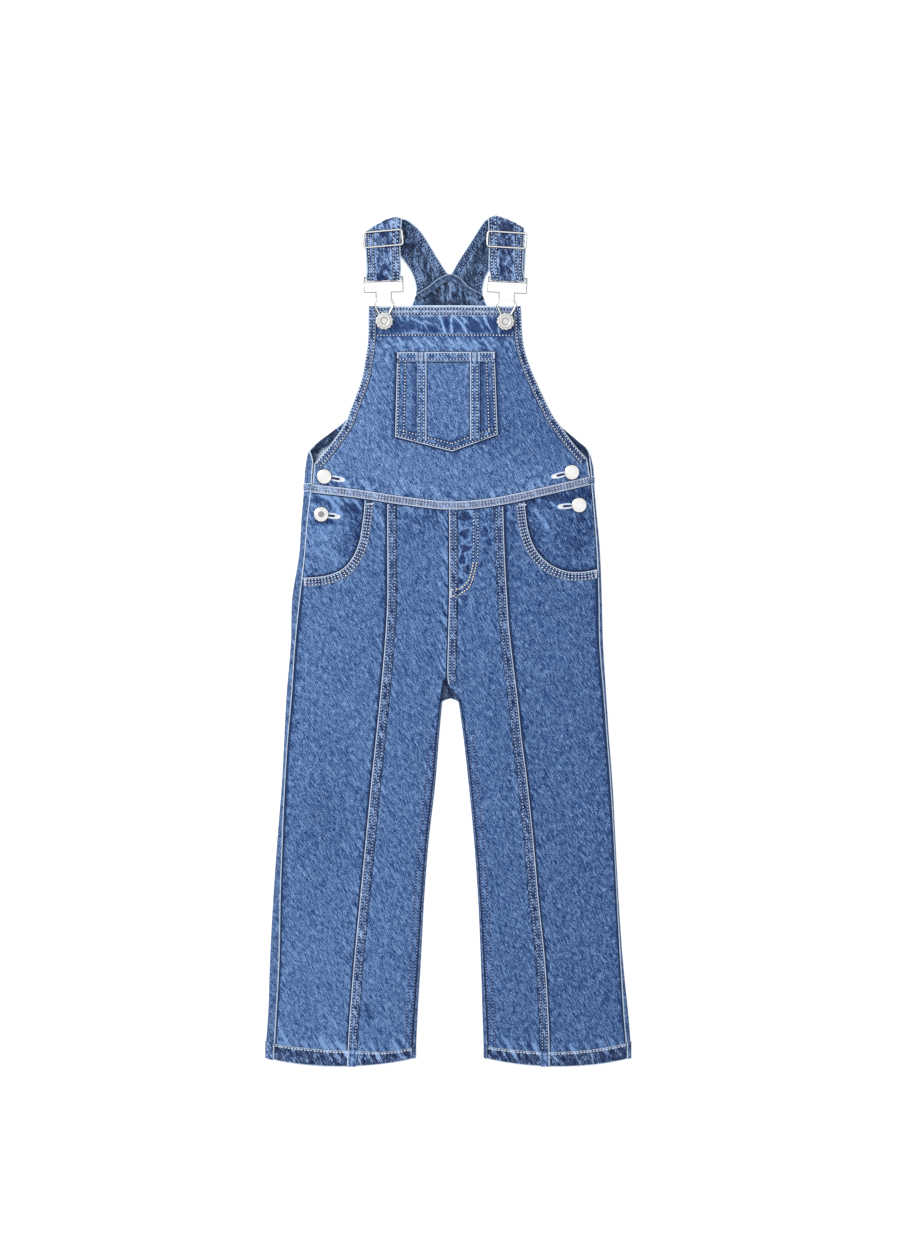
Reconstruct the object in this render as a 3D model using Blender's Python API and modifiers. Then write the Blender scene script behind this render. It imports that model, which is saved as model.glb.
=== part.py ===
"""Kids dungarees in denim, laid flat on a table with the front up.

The garment lies in the XY plane: +X to the right, +Y towards the straps, +Z up from the table.
Its underside is flat at z = 0. The back panels lie on the table and roll up round the side seams,
and the front panels lie over them, so that the trunk and the legs are flat open tubes.
Sizes are in millimetres here and are turned into metres as each mesh is made.
"""

import math

import bmesh
import bpy
import numpy as np
from mathutils import Matrix, Vector

MM = 0.001

# Cloth
DENIM = 1.2  # one layer
TAPE = 0.9  # what a felled seam, a binding or a turned edge adds on top of a panel
STRAP = 1.8  # a strap is two layers, pressed
STRAP_WIDTH = 32.8
HEM = 1.9  # a hem is three layers, pressed
GAP = 0.3  # between two sewn pieces
SEAM = GAP / 2  # each piece stops this far from the seam's line
ROLL_SEAM = 0.26  # the same where the cloth bends round a side

# How the cloth lies
EDGE_RADIUS = 2.9  # of the roll at the sides
CROWN = 4.0  # how much higher the middle of the front lies than its rolled edges
BIB_CROWN = 1.2  # the same at the top of the bib
CROWN_REACH = 12.0  # how fast the front rises from its edges
SAG = 0.3  # share of the crown by which the front sinks again in the middle
SAG_FROM = 24.0  # how far in from the edges it starts to sink
SAG_REACH = 30.0

# Seams and trims
FELL_WIDTH = 8.6  # the double-stitched strip of a felled seam
FLY_WIDTH = 7.8
WAIST_WIDTH = 7.6
BINDING_WIDTH = 7.2
POCKET_EDGE_WIDTH = 8.2
POCKET_HEM = 9.0
FACING_OVERLAP = 6.0  # how far the pocket facing runs in under the front
FACING_DROP = DENIM + GAP  # it lies this much lower there
FACING_REACH = 20.0  # and comes up level with the front this far into the opening
HEM_DEPTH = 13.0
HEM_SIDE_Y = -397.0  # bottom of the hem at the side seams
HEM_SAG = 8.0  # the hem hangs this much lower in the middle of a leg
HEM_LIFT = 0.5  # the hem's extra layers stand out this far
HEM_SHARES = (0, 0.04, 0.09, 0.18, 0.34, 0.5, 0.66, 0.82, 0.91, 0.96, 1)  # of a leg's width

# Crotch: the top of the gap between the legs
CROTCH_Y = -54.5
CROTCH_LEFT = -5.5
CROTCH_RIGHT = 9.5
CROTCH_TURN = 5.5  # the back cloth turns up into the inner legs over this length
CROTCH_EASE = 1.1  # and stops this much shorter of the front there
CENTRE_BACK_X = 2.0
WAIST_BACK_Y = 150.0
WAIST_BACK_SLOPE = 0.0236
HEM_FADE_Y = -300.0  # below this the back's rows bend to follow the hem
WAIST_FADE_Y = 12.0  # above this they bend to follow the waist seam

# The sides by height: the outline, the edge of the front cloth, and the seam between its two panels
SIDE_COLUMNS = ("y", "outline", "edge", "panel_seam")
SIDE = {
    "left": [
        (-405, -175.5, -166.0, -97.0),
        (-360, -172.0, -163.5, -94.0),
        (-303, -170.0, -160.5, -89.5),
        (-246, -167.0, -159.5, -84.0),
        (-189, -163.0, -157.5, -78.5),
        (-132, -158.5, -155.0, -73.0),
        (-94, -156.5, -152.5, -69.0),
        (-55, -154.5, -149.0, -65.0),
        (2, -150.0, -145.0, -60.0),
        (40, -149.0, -141.0, -58.0),
        (87, -142.0, -136.0, -58.0),
        (120, -140.0, -133.5, -58.0),
        (149, -137.5, -130.0, -58.0),
    ],
    "right": [
        (-405, 175.5, 171.0, 97.0),
        (-360, 172.0, 167.0, 95.5),
        (-303, 166.5, 163.5, 92.0),
        (-246, 162.5, 160.5, 86.0),
        (-189, 159.5, 157.5, 81.0),
        (-132, 156.5, 154.0, 75.0),
        (-94, 153.5, 151.0, 70.0),
        (-55, 151.0, 148.0, 66.0),
        (2, 147.5, 143.5, 59.0),
        (40, 146.5, 143.0, 56.0),
        (87, 144.5, 141.0, 53.5),
        (120, 141.5, 138.5, 52.5),
        (149, 139.0, 135.8, 51.5),
    ],
}
SIDE_TOP_Y = SIDE["left"][-1][0]
# The bib's side edges, upwards from the waist: the armhole starts at the second row's corner
BIB_COLUMNS = ("y", "edge", "inset")
BIB = {
    "left": [
        (158.5, -128.5, 8.5),
        (169, -127.5, 8.0),
        (186.5, -113.0, 7.0),
        (206.5, -99.0, 6.0),
        (220.5, -93.5, 6.0),
        (249, -83.0, 6.0),
        (268, -79.5, 6.0),
        (287, -76.8, 6.0),
        (319.5, -76.3, 6.0),
    ],
    "right": [
        (160.5, 135.0, 4.0),
        (173.5, 132.5, 4.5),
        (188, 119.5, 5.5),
        (210, 103.5, 6.0),
        (220.5, 97.0, 6.0),
        (249, 83.5, 6.0),
        (268, 76.0, 6.0),
        (287, 71.5, 6.0),
        (319.5, 69.5, 6.0),
    ],
}
BIB_TOP_Y = 319.5
BIB_TOP_MIDDLE = (-3.0, 320.3)
# The legs' inner sides: the front cloth's edge at the inseam, and the outline
INNER_COLUMNS = ("y", "inseam", "outline")
INNER = {
    "left": [
        (-405, -35.0, -31.5),
        (-360, -32.5, -29.5),
        (-303, -28.5, -26.0),
        (-246, -25.0, -23.0),
        (-189, -20.5, -18.5),
        (-132, -14.0, -12.0),
        (-94, -11.0, -9.0),
        (-54.5, -7.2, -5.5),
    ],
    "right": [
        (-405, 38.5, 34.5),
        (-360, 36.5, 32.8),
        (-303, 33.5, 31.0),
        (-246, 30.5, 28.5),
        (-189, 26.5, 24.5),
        (-132, 21.0, 19.0),
        (-94, 16.8, 14.8),
        (-54.5, 11.0, 9.5),
    ],
}
# The front's inner edges from the waist down to the crotch
CENTRE_FRONT = {
    "left": [(0.8, 130), (1.0, 52), (0.0, 6), (-0.8, -30), (-4.5, -39), (-6.2, -50)],
    "right": [(0.8, 130), (1.0, 52), (0.0, 6), (-0.8, -30), (1.0, -44), (8.0, -51.2), (11.6, -56.5)],
}
CENTRE_SEAM_END = (0.4, -41.0)
WAIST = [
    (-131, 146.0), (-92, 141.5), (-53, 135.5), (-27, 132.0), (0, 129.5),
    (22, 130.5), (44, 133.0), (82, 141.0), (111, 147.0), (137, 153.5),
]
# The curved mouths of the hip pockets, from the waist out to the side seam
POCKET_MOUTH = {
    "left": [
        (-79.5, 139.0), (-80.2, 123.5), (-81.7, 112.0), (-84.5, 95.5), (-90.5, 81.0),
        (-99.5, 69.8), (-112.5, 63.6), (-126.0, 61.2), (-138.3, 60.6),
    ],
    "right": [
        (72.3, 138.5), (73.5, 123.5), (75.2, 110.0), (79.0, 96.5), (86.5, 83.0),
        (98.5, 72.4), (113.5, 66.6), (128.5, 66.2), (142.0, 68.6),
    ],
}
# The back bodice by height: its side edges, and how far the cloth there rolls up (1 is all the way)
BODICE_COLUMNS = ("y", "left", "right", "roll")
BODICE = [
    (158, -137.0, 139.0, 1.0),
    (168, -136.0, 138.0, 1.0),
    (173, -135.2, 136.8, 0.92),
    (178, -134.0, 135.6, 0.72),
    (183, -132.0, 133.5, 0.45),
    (188, -126.5, 127.5, 0.18),
    (194, -119.0, 120.5, 0.0),
    (203, -107.5, 110.0, 0.0),
    (215, -94.0, 98.5, 0.0),
    (232, -80.5, 85.0, 0.0),
    (257, -66.5, 68.5, 0.0),
    (283, -53.0, 53.5, 0.0),
    (306, -41.0, 43.0, 0.0),
    (330, -31.0, 33.0, 0.0),
]
BODICE_PEAK = (1.5, 348.5)
BODICE_FOOT_FADE = 12.0  # its rows follow the waist seam over this height
BODICE_HEAD_Y = 283.0  # and above this they bend up to the peak
BACK_BINDING_LOW_Y = 200.0  # the armhole's binding on the back starts above this
BACK_BINDING_END = 0.85  # share of the last stretch that it runs along, up to the strap
# The bib pocket
POCKET_TOP = ((-48.5, 275.5), (44.0, 275.5))
POCKET_SIDES = ((-50.5, 195.0), (47.0, 197.0))
POCKET_TIP = (3.5, 181.0)
POCKET_SEAM_X = (-30.0, 20.8)  # left edges of the two strips that run down the pocket
POCKET_STRIP = 9.2
POCKET_STRIP_FOOT = 2.5  # the strips stop this far above the pocket's lower edge

# Straps: plan points of both edges from the bodice up to the fold, and from the fold down
STRAP_COLUMNS = ("outer_x", "outer_y", "inner_x", "inner_y")
STRAP_BACK = {
    "left": [
        (-30.6, 332.2, 1.0, 349.6),
        (-31.5, 343.5, -4.0, 356.5),
        (-36.0, 354.0, -10.5, 367.0),
        (-44.5, 366.5, -18.8, 381.0),
        (-55.0, 377.0, -26.8, 393.5),
    ],
    "right": [
        (32.6, 331.0, 1.8, 349.6),
        (33.8, 343.0, 5.0, 355.5),
        (38.0, 353.0, 11.5, 367.0),
        (44.5, 361.5, 17.8, 376.0),
        (52.0, 371.5, 24.5, 387.0),
    ],
}
STRAP_FOLD = {
    "left": (-79.0, 386.0, -43.8, 404.8),
    "right": (72.8, 389.5, 37.6, 405.2),
}
STRAP_FRONT = {
    "left": [(-78.8, 373.5, -45.8, 376.5), (-77.4, 352.0, -44.6, 353.5)],
    "right": [(71.8, 373.5, 38.9, 376.0), (71.0, 353.0, 38.2, 355.5)],
}
CLIP_Z = 9.0  # middle of the clip's plate
CLIP_TURN = 3.0  # radius of the strap's outer face round the clip's bar
STRAP_TOP = CLIP_Z + CLIP_TURN  # height of the front ply's face
FOLD_RADIUS = STRAP_TOP / 2
RETURN_LENGTH = 34.0  # of the ply that comes back up behind the front one

# Hardware: middle and turn of each piece
SLIDER = {"left": (-61.9, 383.2, 5.0), "right": (55.6, 382.0, -3.6)}
SLIDER_SIZE = (36.6, 14.4)  # between the middles of the frame's wires
SLIDER_CORNER = 2.0
SLIDER_BAR = 1.9
SLIDER_HOOK = 0.4  # the bar's ends reach this far past the frame
SLIDER_HOOK_BEND = 1.0
WIRE = 2.0
CLIP = {"left": (-60.8, 305.0, 1.5), "right": (54.6, 304.5, -2.5)}  # at the bib button
CLIP_PLATE = (38.4, 15.6, 1.4)
CLIP_PLATE_LOW = 27.0  # the plate's lower edge, from the button's middle
CLIP_CORNERS = (1.4, 1.0)  # what is cut off the plate's lower and upper corners
CLIP_SLOT = (34.2, 2.7)
CLIP_BAR = 1.8
CLIP_NECK = (15.6, 7.0)
CLIP_LOOP = [  # half width and height of the wire loop, from the button's middle
    (6.6, 21.0), (8.3, 18.6), (8.7, 15.8), (7.6, 12.4), (5.4, 8.4), (4.1, 4.4), (3.9, 0.0), (2.8, -2.9),
]
CLIP_LOOP_END = (0.0, -4.2)
BIB_BUTTON_PROFILE = [  # radius and height of the turned face, from the top down
    (0.0, 5.1), (4.6, 5.1), (5.3, 5.5), (6.1, 5.2), (7.9, 4.8), (8.5, 4.3), (8.2, 3.7), (2.4, 3.3),
    (2.4, 0.5), (3.6, 0.0), (0.0, 0.0),
]
SIDE_BUTTON_STEM = 2.2
SIDE_BUTTON_PROFILE = [
    (0.0, 3.6), (3.6, 3.45), (6.0, 2.9), (7.0, 2.1), (6.8, 1.5),
    (SIDE_BUTTON_STEM, 1.2), (SIDE_BUTTON_STEM, 0.0), (0.0, 0.0),
]
SIDE_BUTTONS = {  # where each stands, and how far it leans to the right, in degrees
    "side_button_upper_left": (-118.0, 157.0, 0.0),
    "side_button_lower_left": (-121.0, 121.0, 4.0),
    "side_button_upper_right": (117.6, 161.0, 0.0),
    "side_button_lower_right": (124.6, 129.8, 0.0),
}

COLOURS = {  # base colour, roughness, metallic
    "denim": ((0.085, 0.17, 0.36), 0.9, 0.0),
    "denim worn": ((0.16, 0.26, 0.46), 0.9, 0.0),
    "denim inside": ((0.05, 0.09, 0.19), 0.9, 0.0),
    "nickel": ((0.8, 0.79, 0.77), 0.25, 1.0),
}


# ---------------------------------------------------------------- lines and tables


def column(columns, rows, name):
    """A smooth function of a table's first column, through the values of the column `name`."""
    heights = np.array([row[0] for row in rows], float)
    values = np.array([row[columns.index(name)] for row in rows], float)
    slopes = np.gradient(values, heights)

    def value(y):
        y = min(max(y, heights[0]), heights[-1])
        i = min(int(np.searchsorted(heights, y, side="right")) - 1, len(heights) - 2)
        step = heights[i + 1] - heights[i]
        t = (y - heights[i]) / step
        return float(
            values[i] * (1 + 2 * t) * (1 - t) ** 2
            + slopes[i] * step * t * (1 - t) ** 2
            + values[i + 1] * t * t * (3 - 2 * t)
            + slopes[i + 1] * step * t * t * (t - 1)
        )

    return value


def line(*runs):
    """A function from 0..1 to plan points along smooth runs of points, joined by corners."""
    dense = []
    for run in runs:
        run = np.array(run, float)
        knots = np.arange(len(run))
        fine = np.linspace(0, len(run) - 1, 12 * (len(run) - 1) + 1)
        if len(run) > 2:
            smooth = [column(("t", "v"), list(zip(knots, run[:, k])), "v") for k in (0, 1)]
            dense += [(smooth[0](t), smooth[1](t)) for t in fine]
        else:
            dense += [tuple(run[0]), tuple(run[1])]
    dense = np.array(dense)
    length = np.concatenate([[0], np.cumsum(np.hypot(*np.diff(dense, axis=0).T))])
    length /= length[-1]

    def at(t):
        return np.array([np.interp(t, length, dense[:, 0]), np.interp(t, length, dense[:, 1])])

    return at


def mix(a, b, t):
    return a + (b - a) * t


def turn_in(t):
    """0 to 1 with soft ends."""
    t = min(max(t, 0.0), 1.0)
    return t * t * (3 - 2 * t)


def patch(bottom, top, start, end, across, up):
    """Plan points of a grid inside four lines. `across` and `up` are fractions or counts."""
    across = np.linspace(0, 1, across + 1) if isinstance(across, int) else np.array(across)
    up = np.linspace(0, 1, up + 1) if isinstance(up, int) else np.array(up)
    corners = bottom(0), bottom(1), top(0), top(1)
    rows = []
    for v in up:
        row = []
        for u in across:
            between = mix(bottom(u), top(u), v) + mix(start(v), end(v), u)
            bilinear = mix(mix(corners[0], corners[1], u), mix(corners[2], corners[3], u), v)
            row.append(between - bilinear)
        rows.append(row)
    return rows


def strip(guide, width, count, side):
    """Plan points of a strip beside a line: `side` +1 lies on the left of its direction."""
    rows = []
    for t in np.linspace(0, 1, count + 1):
        ahead = guide(min(t + 0.01, 1)) - guide(max(t - 0.01, 0))
        normal = np.array([-ahead[1], ahead[0]]) / np.hypot(*ahead) * side
        rows.append([guide(t) + normal * width * k for k in (0, 0.5, 1)])
    return rows


OUTLINE = {s: column(SIDE_COLUMNS, SIDE[s], "outline") for s in SIDE}
SIDE_EDGE = {s: column(SIDE_COLUMNS, SIDE[s], "edge") for s in SIDE}
PANEL_SEAM = {s: column(SIDE_COLUMNS, SIDE[s], "panel_seam") for s in SIDE}
INSEAM = {s: column(INNER_COLUMNS, INNER[s], "inseam") for s in INNER}
INNER_OUTLINE = {s: column(INNER_COLUMNS, INNER[s], "outline") for s in INNER}
BIB_EDGE = {s: column(BIB_COLUMNS, BIB[s], "edge") for s in BIB}
BIB_INSET = {s: column(BIB_COLUMNS, BIB[s], "inset") for s in BIB}
WAIST_Y = column(("x", "y"), WAIST, "y")
OUTWARD = {"left": -1, "right": 1}


# ---------------------------------------------------------------- how the front lies


def front_outline(side, y):
    """What the front's height is measured from: the outline, or just outside the bib's edge."""
    if y <= SIDE_TOP_Y:
        return OUTLINE[side](y)
    t = turn_in((y - SIDE_TOP_Y) / 8)
    bib = BIB_EDGE[side](y) + OUTWARD[side] * BIB_INSET[side](y)
    return mix(OUTLINE[side](y), bib, t)


def inset(x, y):
    """How far a plan point lies inside the outline."""
    sides = min(x - front_outline("left", y), front_outline("right", y) - x)
    if y < CROTCH_Y:
        gap = INNER_OUTLINE["left"](y) - x if x < CENTRE_BACK_X else x - INNER_OUTLINE["right"](y)
    else:
        gap = math.hypot(max(CROTCH_LEFT - x, x - CROTCH_RIGHT, 0), y - CROTCH_Y)
    return max(0.0, min(sides, gap))


def rise(d, crown=CROWN, sag=SAG):
    """Height of the front cloth's face at `d` inside the outline."""
    rounded = math.sqrt(1 - (1 - min(d / EDGE_RADIUS, 1)) ** 2)
    swell = 1 - math.exp(-d / CROWN_REACH) - sag * turn_in((d - SAG_FROM) / SAG_REACH)
    return EDGE_RADIUS * (1 + rounded) + crown * swell


def front(x, y):
    """Height of the front cloth's face."""
    up_bib = turn_in((y - WAIST_BACK_Y) / (BIB_TOP_Y - WAIST_BACK_Y))
    return rise(inset(x, y), mix(CROWN, BIB_CROWN, up_bib), mix(SAG, 0, up_bib))


def on_front(plan, above=0.0):
    """Plan points set on the front cloth, with what lies `above` its face."""
    return [[(x, y, front(x, y) + above) for x, y in row] for row in plan]


def leg_fraction(side, x, y):
    """0 at the outer side of a leg, 1 at its inner side."""
    outer, inner = OUTLINE[side](y), INNER_OUTLINE[side](y)
    return min(max((x - outer) / (inner - outer), 0.0), 1.0)


def hem_bottom(side, x):
    t = leg_fraction(side, x, HEM_SIDE_Y)
    return HEM_SIDE_Y - HEM_SAG * 4 * t * (1 - t)


def hem_top(side, x):
    return hem_bottom(side, x) + HEM_DEPTH


# ---------------------------------------------------------------- making objects


def material(name):
    made = bpy.data.materials.get(name)
    if made is None:
        made = bpy.data.materials.new(name)
        made.use_nodes = True
        shader = made.node_tree.nodes["Principled BSDF"]
        colour, roughness, metallic = COLOURS[name]
        shader.inputs["Base Color"].default_value = (*colour, 1)
        shader.inputs["Roughness"].default_value = roughness
        shader.inputs["Metallic"].default_value = metallic
        made.diffuse_color = (*colour, 1)
    return made


def keep(name, mesh, finish, smooth=False):
    """Puts a mesh in the garment's collection as a named object."""
    mesh.materials.append(material(finish))
    if smooth:
        mesh.shade_smooth()
        mesh.set_sharp_from_angle(angle=math.radians(40))
    made = bpy.data.objects.new(name, mesh)
    bpy.data.collections["kids dungarees"].objects.link(made)
    return made


def cloth(name, rows, wall, finish="denim", face_down=False):
    """A wall of cloth: its outer face goes through `rows` of points and its thickness lies inside."""
    bm = bmesh.new()
    bmesh.ops.create_grid(bm, x_segments=len(rows[0]) - 1, y_segments=len(rows) - 1, size=1)
    points = [point for row in rows for point in row]
    for vert, point in zip(bm.verts, points):
        vert.co = Vector(point) * MM
    bm.normal_update()
    lowest = min(bm.faces, key=lambda face: face.calc_center_median().z)
    highest = max(bm.faces, key=lambda face: face.calc_center_median().z)
    wrong = lowest.normal.z > 0 if face_down else highest.normal.z < 0
    if wrong:
        bmesh.ops.reverse_faces(bm, faces=bm.faces)
    mesh = bpy.data.meshes.new(name)
    bm.to_mesh(mesh)
    bm.free()
    made = keep(name, mesh, finish, smooth=True)
    thick = made.modifiers.new("wall", "SOLIDIFY")
    thick.thickness = wall * MM
    thick.offset = -1
    return made


def turned(name, profile, place, lean=0.0):
    """A button turned from its profile, standing at `place`."""
    bm = bmesh.new()
    verts = [bm.verts.new((r * MM, 0, z * MM)) for r, z in profile]
    for a, b in zip(verts, verts[1:]):
        bm.edges.new((a, b))
    mesh = bpy.data.meshes.new(name)
    bm.to_mesh(mesh)
    bm.free()
    made = keep(name, mesh, "nickel")
    made.location = Vector(place) * MM
    made.rotation_euler = (0, math.radians(lean), 0)
    spin = made.modifiers.new("turn", "SCREW")
    spin.steps = spin.render_steps = 20
    spin.use_merge_vertices = True
    spin.merge_threshold = 0.00001
    spin.use_smooth_shade = True
    return made


def wire(name, points, diameter, closed):
    """A mesh tube along `points`, made from a curve whose caps are welded."""
    curve = bpy.data.curves.new(name, "CURVE")
    curve.dimensions = "3D"
    curve.bevel_depth = diameter / 2 * MM
    curve.bevel_resolution = 1
    curve.use_fill_caps = True
    spline = curve.splines.new("POLY")
    spline.points.add(len(points) - 1)
    for made, point in zip(spline.points, points):
        made.co = (*(Vector(point) * MM), 1)
    spline.use_cyclic_u = closed
    holder = bpy.data.objects.new(name, curve)
    bpy.context.scene.collection.objects.link(holder)
    bpy.context.view_layer.update()
    mesh = bpy.data.meshes.new_from_object(holder.evaluated_get(bpy.context.evaluated_depsgraph_get()))
    bpy.data.objects.remove(holder)
    bm = bmesh.new()
    bm.from_mesh(mesh)
    bmesh.ops.remove_doubles(bm, verts=bm.verts, dist=0.00001)
    bmesh.ops.recalc_face_normals(bm, faces=bm.faces)
    bm.to_mesh(mesh)
    bm.free()
    mesh.name = name
    return mesh


def guide_object(name, mesh, place=None):
    """A shape that another one is cut or joined with: it isn't part of the garment itself."""
    made = bpy.data.objects.new(name, mesh)
    bpy.data.collections["cutters"].objects.link(made)
    if place is not None:
        made.matrix_world = place
    made.hide_render = True
    made.display_type = "WIRE"
    return made


def combine(target, other, operation):
    step = target.modifiers.new(operation.lower(), "BOOLEAN")
    step.operation = operation
    step.object = other


def slab(name, points, low, high):
    """A flat plate from its outline, between two heights."""
    bm = bmesh.new()
    face = bm.faces.new([bm.verts.new((x * MM, y * MM, low * MM)) for x, y in points])
    if face.normal.z > 0:
        face.normal_flip()
    raised = bmesh.ops.extrude_face_region(bm, geom=[face])["geom"]
    moved = [item for item in raised if isinstance(item, bmesh.types.BMVert)]
    bmesh.ops.translate(bm, verts=moved, vec=(0, 0, (high - low) * MM))
    bmesh.ops.recalc_face_normals(bm, faces=bm.faces)
    mesh = bpy.data.meshes.new(name)
    bm.to_mesh(mesh)
    bm.free()
    return mesh


# ---------------------------------------------------------------- front of the legs


def inner_edge(side):
    """The front's inner edge: up the inseam, round the crotch and up the centre front."""
    heights = (-360, -303, -246, -189, -132, -94, -76, -62)
    foot_x = INSEAM[side](HEM_SIDE_Y + HEM_DEPTH)
    run = [(foot_x, hem_top(side, foot_x) + GAP)]
    run += [(INSEAM[side](y), y) for y in heights]
    run += list(reversed(CENTRE_FRONT[side]))
    run[-1] = (run[-1][0], WAIST_Y(run[-1][0]) - SEAM)
    out = OUTWARD[side]
    return line([(x + out * (ROLL_SEAM if y < CROTCH_Y else SEAM), y) for x, y in run])


def seam_line(side, reader, top_y, shift, heights, foot_gap=GAP):
    foot_x = reader(HEM_SIDE_Y + HEM_DEPTH) + shift
    run = [(foot_x, hem_top(side, foot_x) + foot_gap)]
    run += [(reader(y) + shift, y) for y in heights if y < top_y - 10]
    run.append((reader(top_y) + shift, top_y))
    return line(run)


SEAM_HEIGHTS = (-360, -303, -246, -189, -132, -94, -55, 2, 40, 87, 120)
LEG_ROWS = 22


def hem_line(side, x_from, x_to):
    xs = np.linspace(x_from, x_to, 7)
    return line([(x, hem_top(side, x) + GAP) for x in xs])


def waist_line(x_from, x_to, shift):
    xs = np.linspace(x_from, x_to, 7)
    return line([(x, WAIST_Y(x) + shift) for x in xs])


def front_legs(side):
    out = OUTWARD[side]
    seam_top = WAIST_Y(PANEL_SEAM[side](SIDE_TOP_Y)) - SEAM
    inner_side = inner_edge(side)
    seam_in = seam_line(side, PANEL_SEAM[side], seam_top, -out * SEAM, SEAM_HEIGHTS)
    seam_out = seam_line(side, PANEL_SEAM[side], seam_top, out * SEAM, SEAM_HEIGHTS)

    bottom = hem_line(side, inner_side(0)[0], seam_in(0)[0])
    top = waist_line(inner_side(1)[0], seam_in(1)[0], -SEAM)
    across = (0, 0.02, 0.09, 0.27, 0.6, 1)
    plan = patch(bottom, top, inner_side, seam_in, across, LEG_ROWS)
    cloth(f"front_inner_leg_{side}", on_front(plan), DENIM)

    mouth = POCKET_MOUTH[side]
    corner = (mouth[0][0], WAIST_Y(mouth[0][0]) - SEAM)
    mouth_low = (SIDE_EDGE[side](mouth[-1][1]) - out * ROLL_SEAM, mouth[-1][1])
    side_line = seam_line(side, SIDE_EDGE[side], mouth_low[1], -out * ROLL_SEAM, SEAM_HEIGHTS)
    top = line([mouth_low] + mouth[-2:0:-1] + [corner], [corner, tuple(seam_out(1))])
    bottom = hem_line(side, side_line(0)[0], seam_out(0)[0])
    across = (0, 0.015, 0.06, 0.14, 0.28, 0.45, 0.6, 0.74, 0.85, 1)
    plan = patch(bottom, top, side_line, seam_out, across, LEG_ROWS)
    cloth(f"front_outer_leg_{side}", on_front(plan), DENIM)


def pocket_facings(side):
    """The denim that shows inside a hip pocket's mouth, and runs in under the front."""
    out = OUTWARD[side]
    mouth = line(POCKET_MOUTH[side])
    under = strip(mouth, FACING_OVERLAP, 24, -out)
    rim = [row[2] for row in under if row[2][1] < WAIST_Y(row[2][0]) - 2]
    start = rim[0]
    rim[0] = np.array([start[0], WAIST_Y(start[0]) - SEAM])
    low_y = rim[-1][1]
    rim[-1] = np.array([SIDE_EDGE[side](low_y) - out * ROLL_SEAM, low_y])
    half = len(rim) // 2
    upper = line([tuple(p) for p in reversed(rim[: half + 1])])
    lower = line([tuple(p) for p in reversed(rim[half:])])
    top_x = SIDE_EDGE[side](SIDE_TOP_Y) - out * ROLL_SEAM
    heights = np.linspace(low_y, WAIST_Y(top_x) - SEAM, 6)
    side_run = line([(SIDE_EDGE[side](y) - out * ROLL_SEAM, y) for y in heights])
    top = waist_line(side_run(1)[0], rim[0][0], -SEAM)
    plan = patch(lower, top, side_run, upper, 7, 9)
    edge_points = np.array([mouth(t) for t in np.linspace(0, 1, 60)])

    rows = []
    for row in plan:
        rows.append([])
        for x, y in row:
            near = np.hypot(*(edge_points - (x, y)).T).min()
            mouth_y = np.interp(abs(x), np.abs(edge_points[:, 0]), edge_points[:, 1])
            in_opening = abs(x) > abs(edge_points[0, 0]) and y > mouth_y
            drop = FACING_DROP * math.exp(-((near / FACING_REACH) ** 2)) if in_opening else FACING_DROP
            rows[-1].append((x, y, front(x, y) - drop))
    cloth(f"pocket_facing_{side}", rows, DENIM)


def below_waist(x):
    """Where a strip that runs up to the waist seam stops."""
    return WAIST_Y(x) - WAIST_WIDTH / 2 - 2 * GAP


def front_strips(side):
    """The felled seam down the front of a leg, and the turned edge of the pocket's mouth."""
    out = OUTWARD[side]
    top_y = below_waist(PANEL_SEAM[side](SIDE_TOP_Y) - out * FELL_WIDTH)
    guide = seam_line(side, PANEL_SEAM[side], top_y, 0, SEAM_HEIGHTS, foot_gap=4 * GAP)
    plan = strip(guide, FELL_WIDTH, 20, out)
    cloth(f"panel_seam_{side}", on_front(plan, GAP + TAPE), TAPE, "denim worn")

    mouth = POCKET_MOUTH[side]
    start = (mouth[0][0], below_waist(mouth[0][0] - out * POCKET_EDGE_WIDTH))
    end = (SIDE_EDGE[side](mouth[-1][1]) - out * ROLL_SEAM, mouth[-1][1])
    guide = line([start] + mouth[1:-1] + [end])
    plan = strip(guide, POCKET_EDGE_WIDTH, 16, -out)
    cloth(f"pocket_edge_{side}", on_front(plan, GAP + TAPE), TAPE, "denim worn")


def centre_front_seam():
    top_x = CENTRE_FRONT["right"][0][0]
    run = [(top_x, below_waist(top_x))] + CENTRE_FRONT["right"][1:4] + [CENTRE_SEAM_END]
    plan = strip(line(run), FLY_WIDTH, 14, 1)
    cloth("centre_front_seam", on_front(plan, GAP + TAPE), TAPE, "denim worn")


# ---------------------------------------------------------------- bib


def armhole(side):
    """Plan points of the bib's curved side edge, upwards."""
    rows = [dict(zip(BIB_COLUMNS, row)) for row in BIB[side][1:]]
    return [(row["edge"], row["y"]) for row in rows]


def bib_side(side):
    """The bib's side edge: straight up from the waist, then the curve of the armhole."""
    foot_x = SIDE_EDGE[side](SIDE_TOP_Y)
    foot = (foot_x - OUTWARD[side] * ROLL_SEAM, WAIST_Y(foot_x) + SEAM)
    return line([foot, armhole(side)[0]], armhole(side))


def bib():
    left, right = bib_side("left"), bib_side("right")
    bottom = waist_line(left(0)[0], right(0)[0], SEAM)
    top = line([tuple(left(1)), BIB_TOP_MIDDLE, tuple(right(1))])
    across = (0, 0.03, 0.08, 0.16, 0.28, 0.42, 0.58, 0.72, 0.84, 0.92, 0.97, 1)
    plan = patch(bottom, top, left, right, across, 16)
    cloth("bib_front", on_front(plan), DENIM)
    for side in SIDE:
        plan = strip(line(armhole(side)), BINDING_WIDTH, 16, OUTWARD[side])
        cloth(f"armhole_binding_{side}", on_front(plan, GAP + TAPE), TAPE, "denim worn")


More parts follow.
